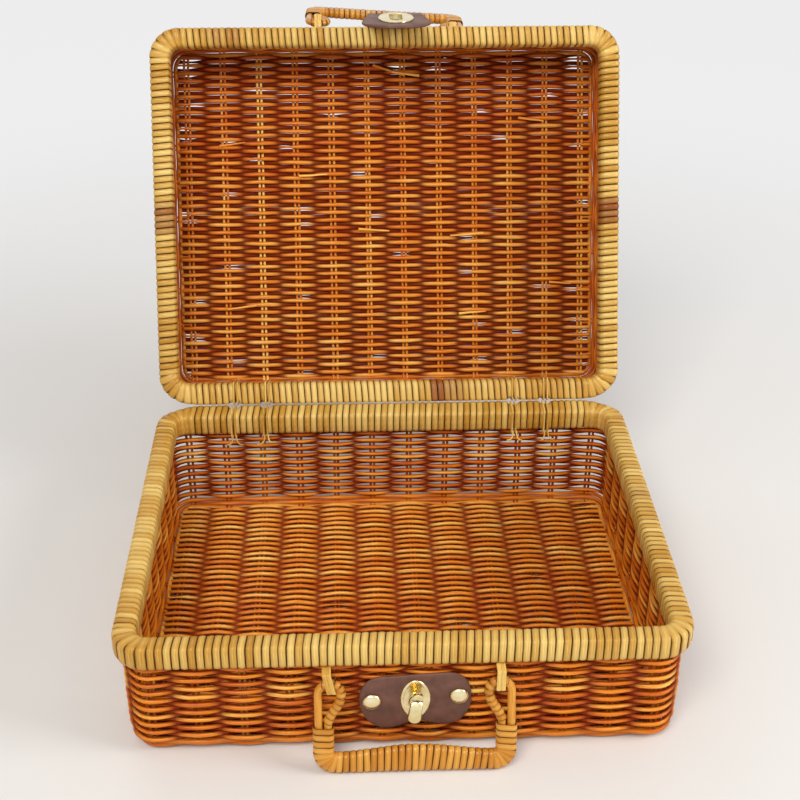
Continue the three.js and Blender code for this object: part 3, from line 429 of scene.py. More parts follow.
# Painted shade: dark on the sides that face into the weave, strongest between stakes where rods cross,
# scaled by the length of out, which for stakes is a set amount.
crossing_shade = ranged(rods, calc(rods, "MULTIPLY", facing, wave), -0.08, 0.55, 0.95, 0.0, "SMOOTHSTEP")
woven = vector_calc(rods, "LENGTH", outward, output="Value")
body = keep(rods, body, "gap", calc(rods, "MULTIPLY", crossing_shade, woven))
body = made(rods, "GeometryNodeSetShadeSmooth", {"Geometry": body, "Shade Smooth": True})
finish_tree(rods, body, given["Material"])
print("tree", rods.name, len(rods.nodes), "nodes")


# %% From tree to plain mesh
def grow(holder, tree, values, name):
    """Runs a tree on a guide object and leaves one plain mesh object of that name."""
    modifier = holder.modifiers.new("grow", "NODES")
    modifier.node_group = tree
    sockets = {s.name: s.identifier for s in tree.interface.items_tree if s.in_out == "INPUT"}
    for key, value in values.items():
        modifier[sockets[key]] = value
    graph = bpy.context.evaluated_depsgraph_get()
    mesh = bpy.data.meshes.new_from_object(
        holder.evaluated_get(graph), preserve_all_data_layers=True, depsgraph=graph,
    )
    holder.modifiers.remove(modifier)
    bpy.data.objects.remove(holder)
    mesh.name = name
    piece = bpy.data.objects.new(name, mesh)
    scene.collection.objects.link(piece)
    print(name, sum(len(face.vertices) - 2 for face in mesh.polygons), "triangles")
    return piece


def grow_rods(name, lines, closed, finish, seed, radius, step, sides, waver=0.3, swing=0.0, bulge=0.0):
    """Rods along the lines; radius, step, waver and swing are in mm."""
    return grow(guide(name, lines, closed), rods, {
        "Radius": radius * MM, "Swing": swing * MM, "Step": step * MM, "Waver": waver * MM, "Bulge": bulge,
        "Sides": sides, "Seed": seed, "Material": finish,
    }, name)


# %% [markdown]
# ## Woven trays
# The walls are rings of rods round upright stakes, and floor and panel are rows across the same stakes,
# which run from rim to rim under the tray. A rod passes before one stake and behind the next, and the row
# above does the opposite, so short lens-shaped pieces of rod show in a brick pattern. A bumpy texture on
# the plain sheets would be cheaper, but no light would come through it and its edges would stay flat.

# %% Plan ring of a wall
HALF_LENGTH, HALF_DEPTH, CORNER = 153.5, 121.0, 13.5
STAKES_ROUND = 42
SPACING = 25.59


def plan_ring(inset, count):
    """Points and outward normals at even steps round the wall, from the middle of the front."""
    radius = max(CORNER - inset, 0.5)
    wide, deep = HALF_LENGTH - inset, HALF_DEPTH - inset
    runs = []
    for side in range(4):
        turn = side * math.pi / 2
        across, out = (wide, deep) if side % 2 == 0 else (deep, wide)
        runs.append(("line", turn, across - radius, out, 2 * (across - radius)))
        runs.append(("arc", turn, across - radius, out - radius, radius * math.pi / 2))
    length = sum(run[4] for run in runs)
    points, normals = [], []
    for i in range(count):
        s = (i / count * length + runs[0][2]) % length
        for kind, turn, half, out, size in runs:
            if s <= size:
                break
            s -= size
        if kind == "line":
            place, normal = (s - half, -out), (0.0, -1.0)
        else:
            angle = -math.pi / 2 + s / radius
            normal = (math.cos(angle), math.sin(angle))
            place = (half + radius * normal[0], -out + radius * normal[1])
        spin = Matrix.Rotation(turn, 2)
        points.append(spin @ Vector(place))
        normals.append(spin @ Vector(normal))
    return np.array(points), np.array(normals)


print("wall in plan", 2 * np.abs(plan_ring(0, STAKES_ROUND)[0]).max(axis=0).round(1), "mm")

# %% The lid, shut and open
HINGE = Vector((0, 128.85, 80))
LID_TURN = Matrix.Rotation(math.radians(-114), 4, "X")
TO_OPEN = Matrix.Translation(HINGE) @ LID_TURN @ Matrix.Translation(-HINGE)


def opened(points, directions=False):
    """Turns points of the shut lid, in mm, to where they are with the lid leaning back."""
    moved = np.asarray(points, float) @ np.array(TO_OPEN.to_3x3()).T
    return moved if directions else moved + np.array(TO_OPEN.translation)


def shut(points):
    """Turns points of the open lid, in mm, back to where they are with the lid shut."""
    return (points - np.array(TO_OPEN.translation)) @ np.array(TO_OPEN.to_3x3())


def lid_lines(lines):
    return [(opened(points), {**extra, "out": opened(extra["out"], True)}) for points, extra in lines]


print("front of the lid rim leans back to", np.round(opened([(0, -HALF_DEPTH, HINGE.z)])[0], 1))

# %% Rings of a wall
RING_POINTS = 336
FOOT, FOOT_ANGLES, FOOT_THICK, FOOT_SWING = 6.0, (22, 52, 82), 1.18, 0.4
ROD_TONES = (0.15, 0.9)
chance = random.Random(7)


def ring_row(row, inset, z, down, thick, tone):
    """One rod round the wall; down is the angle by which outward dips where the wall turns to the floor."""
    plan, normals = plan_ring(inset, RING_POINTS)
    points = np.column_stack([plan, np.full(RING_POINTS, z)])
    out = np.column_stack([normals * math.cos(down), np.full(RING_POINTS, math.sin(down))])
    phase = np.arange(RING_POINTS) / RING_POINTS * STAKES_ROUND + 0.5 + row
    return points, rod_values(RING_POINTS, phase, out * (FOOT_SWING if down else 1.0), thick, tone)


def wall_rows(levels, foot, sign):
    """Rings at the given levels of a wall, then three round the arc at its foot."""
    rows = []
    for row, z in enumerate(levels):
        thick = chance.uniform(0.9, 1.08)
        rows.append(ring_row(row, 0, z, 0, thick, chance.uniform(*ROD_TONES)))
    for row, angle in enumerate(np.radians(FOOT_ANGLES), len(levels)):
        inset = FOOT * (1 - math.cos(angle))
        z = foot + sign * FOOT * math.sin(angle)
        rows.append(ring_row(row, inset, z, sign * angle, FOOT_THICK, chance.uniform(*ROD_TONES)))
    return rows


# %% Rows of a floor or panel
ROW_POINTS = 117
FLAT_HALF, FLAT_REACH, FLAT_CORNER = HALF_LENGTH - FOOT, 114.0, CORNER - FOOT
NEAR_END, FRONT_ROWS = 130, 6


def flat_row(row, y, z, half, thick, tone, gappy):
    """One rod across a floor or panel; gappy is the chance of a thin place, where light comes through."""
    x = np.linspace(-half, half, ROW_POINTS)
    points = np.column_stack([x, np.full(ROW_POINTS, y), np.full(ROW_POINTS, z)])
    girth = np.full(ROW_POINTS, thick)
    for middle in np.arange(-5.5, 6) * SPACING:
        if chance.random() < gappy * (4 if abs(middle) > NEAR_END else 1):
            spot = middle + chance.uniform(-6, 6)
            girth *= 1 - 0.55 * np.exp(-((x - spot) / chance.uniform(3.5, 6)) ** 4)
    return points, rod_values(ROW_POINTS, x / SPACING + 0.5 + row, (0.0, 0.0, 1.0), girth, tone)


def flat_rows(z, pitch, gappy):
    """Rows across a floor or panel, a little shorter where its corners are round, looser near the front."""
    rows = []
    count = round(2 * FLAT_REACH / pitch)
    for row in range(count + 1):
        y = -FLAT_REACH + row * 2 * FLAT_REACH / count
        into_corner = max(0.0, abs(y) - (HALF_DEPTH - CORNER))
        half = FLAT_HALF - (FLAT_CORNER - math.sqrt(max(0.0, FLAT_CORNER ** 2 - into_corner ** 2)))
        # Painted shade: the tone rises by 0.35 from front row to back row, so the front, the top edge of
        # the open lid under its rim, is darker; the base floor gets the same ramp.
        tone = chance.uniform(0.15, 0.6) + 0.35 * row / count
        thick = chance.uniform(0.94, 1.08)
        rows.append(flat_row(row, y, z, half, thick, tone, gappy * (5 if row < FRONT_ROWS else 1)))
    return rows


# %% Weave the trays
BASE_FOOT, LID_FOOT = 9, 126
ROW_PITCH = 2.8


def settle(piece, body, slot, *nodes):
    """Hides the solids that a piece stands in for and makes it move with its body; slot is not used."""
    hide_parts(*nodes)
    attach(piece, body)


def weave(name, lines, closed, body, finish, seed, radius, swing=0.0, bulge=0.0, sides=7, step=3.2):
    piece = grow_rods(name, lines, closed, finish, seed, radius, step, sides, 1.3, swing, bulge)
    settle(piece, body, "wicker", f"{body}_weave")


base_wall = wall_rows(np.arange(63.6, 9.0, -ROW_PITCH), BASE_FOOT, -1)
weave("base_wall_rods", base_wall, True, "base", honey_willow, 3.0, radius=1.33, swing=1.75, bulge=0.1)
base_floor = flat_rows(BASE_FOOT - FOOT, ROW_PITCH, gappy=0.01)
weave("base_floor_rods", base_floor, False, "base", honey_willow, 5.0, radius=1.52, swing=1.45, bulge=0.05)
lid_wall = lid_lines(wall_rows(np.arange(97.0, 126.5, ROW_PITCH), LID_FOOT, 1))
weave("lid_wall_rods", lid_wall, True, "lid", willow, 8.0, radius=1.33, swing=1.75, bulge=0.1)
lid_panel = lid_lines(flat_rows(LID_FOOT + FOOT, 2.75, gappy=0.03))
weave("lid_panel_rods", lid_panel, False, "lid", willow, 9.0, radius=1.5, swing=1.7, bulge=0.05)

# %% [markdown]
# ## Stakes and loose ends
# Pairs of straight stakes carry the weave. They go down one wall, under the tray and up the other, and more
# of them stand in the end walls. Inside the lid a few cut rod ends lie on the panel, as on any basket that
# was trimmed by hand. Both are rods without swing, so the same tree grows them.

# %% Stakes
COLUMNS, COLUMN_STEP, PALE_COLUMN = 12, 25.6, 2
END_STAKES, END_REACH = 9, 142.0
PAIR_SPREAD = (1.1, 1.6)


def stake_side(reach, top, foot, sign):
    """A stake down a wall at that reach from the middle and round the foot, as reach and height."""
    straight = [(reach, z) for z in np.linspace(top, foot, 12)]
    bend = np.radians(np.arange(15, 91, 15))
    return straight + [(reach - FOOT * (1 - math.cos(a)), foot + sign * FOOT * math.sin(a)) for a in bend]


def stake_lines(top, foot, sign, shade):
    """Stakes in pairs, darkened by shade: columns from front rim to back rim, and more up each end wall."""
    flat = foot + sign * FOOT
    lines = []
    for column in range(COLUMNS):
        for side in (-1, 1):
            x = (column - (COLUMNS - 1) / 2) * COLUMN_STEP + side * chance.uniform(*PAIR_SPREAD)
            half = stake_side(HALF_DEPTH, top, foot, sign) + [(y, flat) for y in np.linspace(105, 0, 20)]
            path = [(-y, z) for y, z in half] + half[-2::-1]
            tone = 1.3 if column == PALE_COLUMN else chance.uniform(0.4, 0.9)
            lines.append(([(x, y, z) for y, z in path], tone))
    for end in (-1, 1):
        for place in range(END_STAKES):
            for side in (-1, 1):
                y = (place - (END_STAKES - 1) / 2) * SPACING + side * chance.uniform(*PAIR_SPREAD)
                path = stake_side(HALF_LENGTH, top, foot, sign) + [(END_REACH, flat)]
                lines.append(([(end * x, y, z) for x, z in path], chance.uniform(0.1, 0.5)))
    return [
        (np.array(points), rod_values(len(points), 0.5, (0.0, 0.0, shade), 1.0, tone))
        for points, tone in lines
    ]


# Base stakes carry a strong painted shade, as they lie in shade behind the outer rods; the lid's stakes
# carry almost none.
base_stakes = stake_lines(66, BASE_FOOT, -1, 0.9)
weave("base_stakes", base_stakes, False, "base", honey_willow, 2.0, radius=0.9, sides=6, step=4.0)
lid_stakes = lid_lines(stake_lines(95, LID_FOOT, 1, 0.1))
weave("lid_stakes", lid_stakes, False, "lid", willow, 4.0, radius=0.9, sides=6, step=4.0)

# %% Loose ends inside the lid
PANEL_INSIDE = 128.2


def cut_end(x, y, turn, length, rise):
    """A cut rod end that lies on the inside of the lid panel and lifts off at its tip."""
    t = np.linspace(0, 1, 7)
    way = (math.cos(math.radians(turn)), math.sin(math.radians(turn)))
    return np.column_stack([x + t * length * way[0], y + t * length * way[1], PANEL_INSIDE - rise * t * t])


cut_ends = [cut_end(*values) for values in (
    (-20, 8, 4, 22, 2), (-62, -30, -3, 20, 1.5), (70, 12, 176, 24, 2), (96, -70, 8, 18, 2),
    (-95, 62, 172, 20, 2), (25, -100, 188, 20, 2), (118, 48, 4, 16, 2), (-118, -52, -6, 18, 2),
    (-8, -108, 20, 24, 2), (52, 70, -5, 20, 1.5),
)]
cut_lines = lid_lines([(points, rod_values(
    len(points), 0.5, 0.0, np.linspace(1.1, 0.5, len(points)), chance.uniform(0.6, 1.1),
)) for points in cut_ends])
weave("lid_loose_ends", cut_lines, False, "lid", willow, 6.0, radius=0.95, step=2.0)

# %% [markdown]
# ## Bound rims
# Each rim is two flat hoops with the stake ends between them, wound side by side with split cane. One turn
# of cane is modelled once, slightly crowned and with painted shade on its edges, and a tree sets it at
# every step round the rim. A long spiral could be swept instead, but single turns let each have its own
# tone and width. Along the back, the turns are then drawn out to the hinge line, where the two rims lie
# against each other.

# %% One turn of cane
def turn_section(half_y, half_z, radius, steps=2):
    """Points of a rounded rectangle with their outward direction."""
    points = []
    for k, (y, z) in enumerate(((1, 1), (-1, 1), (-1, -1), (1, -1))):
        for i in range(steps + 1):
            angle = (k + i / steps) * math.pi / 2
            out_y, out_z = math.cos(angle), math.sin(angle)
            corner_y, corner_z = y * (half_y - radius), z * (half_z - radius)
            points.append((corner_y + radius * out_y, corner_z + radius * out_z, out_y, out_z))
    return points


def band_faces(rings, count, closed=True):
    """Faces between rings of count points each, with the last ring joined to the first if closed."""
    total = rings * count
    faces = []
    for i in range(rings if closed else rings - 1):
        for k in range(count):
            a, b = i * count + k, i * count + (k + 1) % count
            faces.append((a, b, (b + count) % total, (a + count) % total))
    return faces


def cane_turn(name, half_y, half_z, radius, width, slant, depth, crown=0.65):
    """Closed ring of flat cane round a rounded section, laid along X, lower at its edges, painted shade
    there and below.
    """
    half, shoulder, low = width / 2, 0.72 * width / 2, -0.3 * crown
    # The third value of each profile point is painted shade: full at the edges and the underside, a little
    # on the shoulders, none on the crown.
    profile = [(-half, -crown, 1.0), (-shoulder, low, 0.22), (0.0, 0.0, 0.0), (shoulder, low, 0.22),
               (half, -crown, 1.0), (0.0, -depth, 1.0)]
    ring = turn_section(half_y, half_z, radius)
    far = np.cumsum([0.0] + [math.dist(a[:2], b[:2]) for a, b in zip(ring, ring[1:])])
    points, strands, painted_shades = [], [], []
    for reach, (y, z, out_y, out_z) in zip(far, ring):
        for x, height, gap in profile:
            points.append((x + slant * (y / half_y), y + out_y * height, z + out_z * height))
            strands.append((reach, x, 0.0))
            painted_shades.append(gap)
    faces = band_faces(len(ring), len(profile))
    piece = new_piece(name, points, faces=faces, values={"strand": strands, "gap": painted_shades})
    piece.data.shade_smooth()
    return piece


rim_turn = cane_turn("rim turn", 6.7, 7.9, 3.2, width=4.45, slant=0.55, depth=1.0, crown=0.85)
print("turn", rim_turn.name, len(rim_turn.data.polygons), "faces")

# %% Tree that winds turns along a line
winding, given = shape_tree(
    "turns along a line", Turn="Object", Up="Vector", Jitter="Float", Seed="Int", Material="Material",
)
line = made(winding, "GeometryNodeMeshToCurve", {0: given["Geometry"]})
line = keep(winding, line, "ahead", made(winding, "GeometryNodeInputTangent"), "FLOAT_VECTOR")
places = made(winding, "GeometryNodeCurveToPoints", {"Curve": line}, mode="EVALUATED")
ahead = named(winding, "ahead", "FLOAT_VECTOR")
turn = made(winding, "FunctionNodeAxesToRotation", {
    0: ahead, 1: given["Up"],
}, primary_axis="X", secondary_axis="Z")
jolt = made(winding, "FunctionNodeRandomValue", {
    "Min": (-1.0, -1.0, -1.0), "Max": (1.0, 1.0, 1.0), "Seed": given["Seed"],
}, data_type="FLOAT_VECTOR")
askew = made(winding, "FunctionNodeEulerToRotation", {0: scaled(winding, jolt, given["Jitter"])})
turn = made(winding, "FunctionNodeRotateRotation", {0: turn, 1: askew}, rotation_space="LOCAL")
model = put(winding, "GeometryNodeObjectInfo", {"Object": given["Turn"]}).outputs["Geometry"]
wound = made(winding, "GeometryNodeInstanceOnPoints", {
    "Points": places, "Instance": model, "Rotation": turn, "Scale": named(winding, "size", "FLOAT_VECTOR"),
})
finish_tree(winding, wound, given["Material"])
print("tree", winding.name, len(winding.nodes), "nodes")


# %% Lines to wind along
RIM_TURNS = 244
CORNER_WIDE, TIGHT_WIDE = 1.4, 1.16


def wind(name, lines, closed, model, up, jitter, seed, finish):
    return grow(guide(name, lines, closed), winding, {
        "Turn": model, "Up": up, "Jitter": jitter, "Seed": seed, "Material": finish,
    }, name)


def turn_values(tone, splice=0.0, size=1.0):
    """What the winding tree reads at each place: a tone for each, a splice and a size."""
    count = len(tone)
    return {
        "tone": tone, "splice": np.broadcast_to(splice, count), "size": np.broadcast_to(size, (count, 3)),
    }


def rim_line(z, splices, tight=()):
    """Turns round a rim, with splices as (x, y, reach, strength) and tight runs as (x, low y, high y)."""
    plan, normals = plan_ring(0, RIM_TURNS)
    points = np.column_stack([plan, np.full(RIM_TURNS, z)])
    splice = np.zeros(RIM_TURNS)
    for x, y, reach, strength in splices:
        near = np.hypot(plan[:, 0] - x, plan[:, 1] - y) < reach
        splice[near] = [chance.uniform(0.45, 1.0) * strength for _ in range(near.sum())]
    wide = np.where(np.abs(normals).min(axis=1) > 0.01, CORNER_WIDE, 1.0)
    for x, low, high in tight:
        wide[(np.abs(plan[:, 0] - x) < 1) & (plan[:, 1] > low) & (plan[:, 1] < high)] = TIGHT_WIDE
    slow = np.sin(np.arange(RIM_TURNS) * 0.11) * 0.18
    tone = np.clip([chance.uniform(0.25, 0.95) for _ in plan] + slow, 0, 1)
    size = np.column_stack([wide, np.ones(RIM_TURNS), [chance.uniform(0.98, 1.01) for _ in plan]])
    return points, turn_values(tone, splice, size)


# %% Edge along the hinge
HINGE_PLACES = (-108.0, -86.0, 86.0, 108.0)
TIE_CLEAR, EDGE_HALF = 3.0, 148
EDGE_GAP = 0.15


def eased(value, length):
    """0 up to zero, 1 from length on, and even steps in between."""
    return np.clip(value / length, 0, 1)


def fill_hinge_edge(piece, lid):
    """Draws the turns along the back out to the hinge line, except at the ties, so that the rims meet."""
    mesh = piece.data
    points = np.empty(3 * len(mesh.vertices), np.float32)
    mesh.vertices.foreach_get("co", points)
    points = points.reshape(-1, 3).astype(float) / MM
    if lid:
        points = shut(points)
    sign = 1 if lid else -1
    past_middle = points[:, 1] - HALF_DEPTH
    rise = sign * (points[:, 2] - HINGE.z)
    off_ties = np.min([np.abs(points[:, 0] - x) for x in HINGE_PLACES], axis=0)
    near = eased(EDGE_HALF - np.abs(points[:, 0]), 14) * eased(off_ties - TIE_CLEAR, 1.3)
    near = near * eased(past_middle - 1.5, 4.5) * eased(13 - rise, 9)
    points[:, 1] += near * (HINGE.y - EDGE_GAP - points[:, 1])
    points[:, 2] -= sign * near * np.clip(rise - EDGE_GAP, 0, 1.6) * eased(6 - rise, 3)
    if lid:
        points = opened(points)
    mesh.vertices.foreach_set("co", np.ravel(points * MM).astype(np.float32))
    mesh.update()


# %% Bind the rims
BASE_RIM_Z, LID_RIM_Z = 71.5, 88.5


def bind_rim(body, line, up, seed):
    piece = wind(f"{body}_rim_turns", [line], True, rim_turn, tuple(up), 0.016, seed, rim_cane)
    fill_hinge_edge(piece, body == "lid")
    settle(piece, body, "straw_cane", f"{body}_rim_binding")


base_line = rim_line(BASE_RIM_Z, [(154, 14, 6, 0.3)], [(-HALF_LENGTH, -100, 95)])
bind_rim("base", base_line, (0.0, 0.0, 1.0), 1)
lid_points, lid_values = rim_line(LID_RIM_Z, [
    (-154, -1, 10, 0.8), (154, -1, 9, 1.0), (40, 121, 11, 0.9), (-111, -121, 10, 0.45),
])
bind_rim("lid", (opened(lid_points), lid_values), opened([[0, 0, 1]], True)[0], 2)

# %% [markdown]
# ## Handles
# A handle is one willow rod bent into a closed hoop with an eye at each end. The two strands of legs and
# grip are wound together with glossy cane. The rod is grown with the rod tree and the binding with the
# winding tree. It is easiest to lay both out in the plane of the handle and then to turn them to where the
# handle hangs.

# %% Curves
def bezier(ends, shares):
    """Points at the given shares of a curve from its first end to its last, pulled by those between."""
    shares = np.asarray(shares)[:, None]
    level = [np.array(end, float) for end in ends]
    while len(level) > 1:
        level = [(1 - shares) * a + shares * b for a, b in zip(level, level[1:])]
    return level[0]


def arc_points(x, z, radius, first, last, steps):
    angles = np.radians(np.linspace(first, last, steps + 1))
    return [(x + radius * math.cos(a), z + radius * math.sin(a)) for a in angles]


# %% Handle rod
LEG_X, GRIP_Z, BEND, PITCH, ARCH = 53.1, -50.9, 9.1, 5.1, 9.2
BEND_X, BEND_Z = LEG_X - BEND, GRIP_Z + BEND
EYE, EYE_LENGTH = 6.25, 26.0


def arch_pitch(x):
    """How far the two strands of the grip are apart; most in the middle."""
    return PITCH + (ARCH - PITCH) * (1 + math.cos(math.pi * x / BEND_X)) / 2


def eye_tail(steps):
    """Inner strand of an eye, from the eye back to the leg."""
    pull = (EYE_LENGTH - EYE) * 0.45
    ends = [(LEG_X - 2 * EYE, -EYE), (LEG_X - 2 * EYE, -EYE - pull),
            (LEG_X - PITCH, -EYE_LENGTH + pull), (LEG_X - PITCH, -EYE_LENGTH)]
    return bezier(ends, np.linspace(0, 1, steps + 1)).tolist()


def hoop_line():
    """Centre line of the whole rod, as places in the plane of the handle."""
    half = [(0.0, GRIP_Z)] + arc_points(BEND_X, BEND_Z, BEND, -90, 0, 10)
    half += arc_points(LEG_X - EYE, -EYE, EYE, 0, 180, 20) + eye_tail(14)[1:]
    half += arc_points(BEND_X, BEND_Z, BEND - PITCH, 0, -90, 6)
    half += [(x, GRIP_Z + arch_pitch(x)) for x in np.linspace(BEND_X, 0, 16)[1:]]
    return half + [(-x, z) for x, z in reversed(half[1:-1])]


print("handle rod with", len(hoop_line()), "places")

# %% Handle binding
ROD_REACH, TURN_HALF = 3.4, 5.95
CORNER_TURN_WIDE = 1.22


def binding_line(leg_turns=4, corner_turns=4, grip_turns=23):
    """Middle of each turn of the binding, with half the strands' distance and the width of its cane."""
    half = []
    for i in range(leg_turns):
        z = -EYE_LENGTH + (BEND_Z + EYE_LENGTH) * (i + 0.5) / leg_turns
        half.append((LEG_X - PITCH / 2, z, PITCH / 2, 1.0))
    middle = BEND - PITCH / 2
    for i in range(corner_turns):
        a = -(i + 0.5) / corner_turns * math.pi / 2
        x, z = BEND_X + middle * math.cos(a), BEND_Z + middle * math.sin(a)
        half.append((x, z, PITCH / 2, CORNER_TURN_WIDE))
    left = [(-x, *rest) for x, *rest in reversed(half)]
    grip = []
    for i in range(grip_turns):
        x = BEND_X * (1 - 2 * (i + 0.5) / grip_turns)
        grip.append((x, GRIP_Z + arch_pitch(x) / 2, arch_pitch(x) / 2, 1.0))
    return half + grip + left


binding_turn = cane_turn("handle turn", TURN_HALF, ROD_REACH, 2.6, width=4.0, slant=0.45, depth=0.8)
eye_turn = cane_turn("eye turn", 2.8, 2.8, 2.75, width=3.7, slant=0.25, depth=0.6, crown=0.18)
print("handle binding with", len(binding_line()), "turns")


# %% Pieces of a handle
def flat_line(places):
    return np.array([(x, 0.0, z) for x, z in places])


def hang_handle(name, hang, seed):
    """Rod, binding of the grip and bands round the eyes, grown in the handle's plane and then hung."""
    hoop = flat_line(hoop_line())
    hoop_values = rod_values(len(hoop), 0.5, 0.0, 1.0, 0.6)
    rod = grow_rods(f"{name}_hoop", [(hoop, hoop_values)], True, handle_cane, seed, 2.3, 1.5, 14)
    turns = binding_line()
    tone = [chance.uniform(0.3, 0.95) for _ in turns]
    size = [(wide, (half + ROD_REACH) / TURN_HALF, 1.0) for _, _, half, wide in turns]
    grip = [(flat_line([turn[:2] for turn in turns]), turn_values(tone, size=size))]
    eyes = []
    for side in (-1, 1):
        top = arc_points(LEG_X - EYE, -EYE, EYE, 40, 180, 5)[1:5]
        places = [(side * x, z) for x, z in top + eye_tail(6)[:6]]
        eyes.append((flat_line(places), turn_values([chance.uniform(0.3, 0.9) for _ in places])))
    up = (0.0, -1.0, 0.0)
    binding = wind(f"{name}_grip_turns", grip, False, binding_turn, up, 0.035, int(seed), handle_cane)
    bands = wind(f"{name}_eye_turns", eyes, False, eye_turn, up, 0.012, int(seed) + 3, handle_cane)
    hang_in_metres = hang.copy()
    hang_in_metres.translation = hang.translation * MM
    for piece, node, slot in (
        (rod, "rod", "rod_wood"), (binding, "binding", "handle_cane"), (bands, "rod", "handle_cane"),
    ):
        piece.data.transform(hang_in_metres)
        settle(piece, name, slot, f"{name}_{node}")


# %% Hang the handles
BASE_HANDLE_X = 5
base_hang = (Matrix.Translation((BASE_HANDLE_X, -128.3, 53.5))
             @ Matrix.Rotation(math.radians(-13.27), 4, "X"))
lid_askew = math.asin(5.7 / 93.7)
lid_hang = (TO_OPEN @ Matrix.Translation((0, -131.15, 106.5)) @ Matrix.Rotation(lid_askew, 4, "Z")
            @ Matrix.Rotation(math.pi + math.radians(18), 4, "X"))
hang_handle("base_handle", base_hang, 11.0)
hang_handle("lid_handle", lid_hang, 17.0)
for model in (rim_turn, binding_turn, eye_turn):
    bpy.data.objects.remove(model)

# %% [markdown]
# ## Cane ties
# Thin split canes tie the lid to the base at the back, and flat ones hold the eyes of the handles to the
# walls. The hinge ties are two strands side by side from the rod tree. A handle tie is a flat band, so it
# is skinned from rings, a way that also serves the leather and the brass below.

# %% Bodies skinned from rings
def skinned(name, rings, closed, finish, sharp=50, tone=None):
    """Body through rings of equal count, in mm: joined end to start, or with both ends filled."""
    count = len(rings[0])
    total = len(rings) * count
    faces = band_faces(len(rings), count, closed)
    if not closed:
        faces += [tuple(range(count)), tuple(range(total - count, total))]
    values = {}
    if tone is not None:
        far = np.cumsum([0.0] + [np.linalg.norm(b[0] - a[0]) for a, b in zip(rings, rings[1:])])
        strand = [(reach, 1.1 * abs(k - count / 2), 90 * tone) for reach in far for k in range(count)]
        values = {"strand": strand, "tone": np.full(total, tone)}
    piece = new_piece(name, np.concatenate(rings), faces=faces, values=values)
    outward = bmesh.new()
    outward.from_mesh(piece.data)
    bmesh.ops.recalc_face_normals(outward, faces=outward.faces)
    outward.to_mesh(piece.data)
    outward.free()
    piece.data.shade_smooth()
    piece.data.set_sharp_from_angle(angle=math.radians(sharp))
    piece.data.materials.append(finish)
    return piece


# %% Path round corners
def eased_corners(corners, trims):
    """Closed path that passes each corner at the given lengths: before it if negative, then after it."""
    path = []
    for k, (y, z) in enumerate(corners):
        for trim in trims:
            towards = corners[k - 1] if trim < 0 else corners[(k + 1) % len(corners)]
            share = abs(trim) / math.dist((y, z), towards)
            path.append((y + (towards[0] - y) * share, z + (towards[1] - z) * share))
    return path


# %% Hinge ties
RIM_INSIDE, RIM_OUTSIDE, RIM_FAR = 113.6, 128.35, 17.2


def hinge_loop(x, sign):
    """Loop of one strand round a rim and out to the hinge line, in the shut basket; sign 1 is the lid's."""
    corners = [(RIM_INSIDE, 0.65), (RIM_INSIDE, RIM_FAR), (RIM_OUTSIDE, RIM_FAR), (HINGE.y - 0.15, 0.35)]
    return np.array([(x, y, HINGE.z + sign * z) for y, z in eased_corners(corners, (-2.6, 0.0, 2.6))])


def tie_strands(name, lines, closed, body, nodes, radius=0.6):
    """Strands with a thickness and a tone each."""
    valued = []
    for points in lines:
        thick = chance.uniform(0.85, 1.1)
        valued.append((points, rod_values(len(points), 0.5, 0.0, thick, chance.uniform(0.3, 0.9))))
    if body == "lid":
        valued = lid_lines(valued)
    piece = grow_rods(name, valued, closed, rim_cane, 6.0, radius, 1.2, 8)
    settle(piece, body, "straw_cane", *nodes)


for body, sign, beside in (("base", -1, (-1.95, 0.65)), ("lid", 1, (-0.65, 1.95))):
    loops = [hinge_loop(x + step, sign) for x in HINGE_PLACES for step in beside]
    tie_strands(f"{body}_hinge_ties", loops, True, body, [f"{body}_hinge_tie_{i}" for i in (1, 2, 3, 4)])

# %% Loose ends of the hinge ties
tails = []
for x in HINGE_PLACES:
    for side in (-1, 1):
        reach = chance.uniform(3, 7)
        drop = chance.uniform(0.5, 3)
        knot, bend = (x + side * 1.2, 113.9, 64.5), (x + side, 111.0, 57.5)
        tip = (x + side * reach, 110.5, 61.5 - drop)
        tails.append(bezier((knot, bend, tip), np.linspace(0, 1, 8)))
tie_strands("hinge_tie_ends", tails, False, "base", ["base_hinge_tie_1"], radius=0.5)

# %% One band of a handle tie
BAND_WIDE, BAND_BESIDE, WALL_INSIDE = 2.4, 1.26, -117.3
BAND_SECTION = [(-0.5, 0.15), (-0.32, 0.45), (0.32, 0.45), (0.5, 0.15),
                (0.5, -0.2), (0.3, -0.4), (-0.3, -0.4), (-0.5, -0.2)]


def flat_band(x, slant, outer, low, high, on_lid):
    """Closed band of flat cane round the rod of an eye and through the wall, leaning by slant."""
    corners = [(outer, low), (outer, high), (WALL_INSIDE, high), (WALL_INSIDE, low)]
    middle = np.array([(outer + WALL_INSIDE) / 2, (low + high) / 2])
    half_size = np.array([abs(outer - WALL_INSIDE) / 2, abs(high - low) / 2])
    rings = []
    for y, z in eased_corners(corners, (-1.0, -0.35, 0.35, 1.0)):
        away = np.array([y, z]) - middle
        away = away / np.max(np.abs(away) / half_size)
        away = away / np.linalg.norm(away)
        place = x - slant * (z - middle[1])
        ring = [(place + a * BAND_WIDE, y + away[0] * b, z + away[1] * b) for a, b in BAND_SECTION]
        rings.append(opened(ring) if on_lid else np.array(ring))
    return skinned("band", rings, True, rim_cane, tone=chance.uniform(0.45, 0.95))


# %% Handle ties
def join_pieces(name, parts):
    """One object from several bodies that stay separate shells."""
    whole = bmesh.new()
    for part in parts:
        whole.from_mesh(part.data)
    piece = new_piece(name, [])
    whole.to_mesh(piece.data)
    whole.free()
    piece.data.materials.append(parts[0].data.materials[0])
    for part in parts:
        bpy.data.objects.remove(part)
    return piece


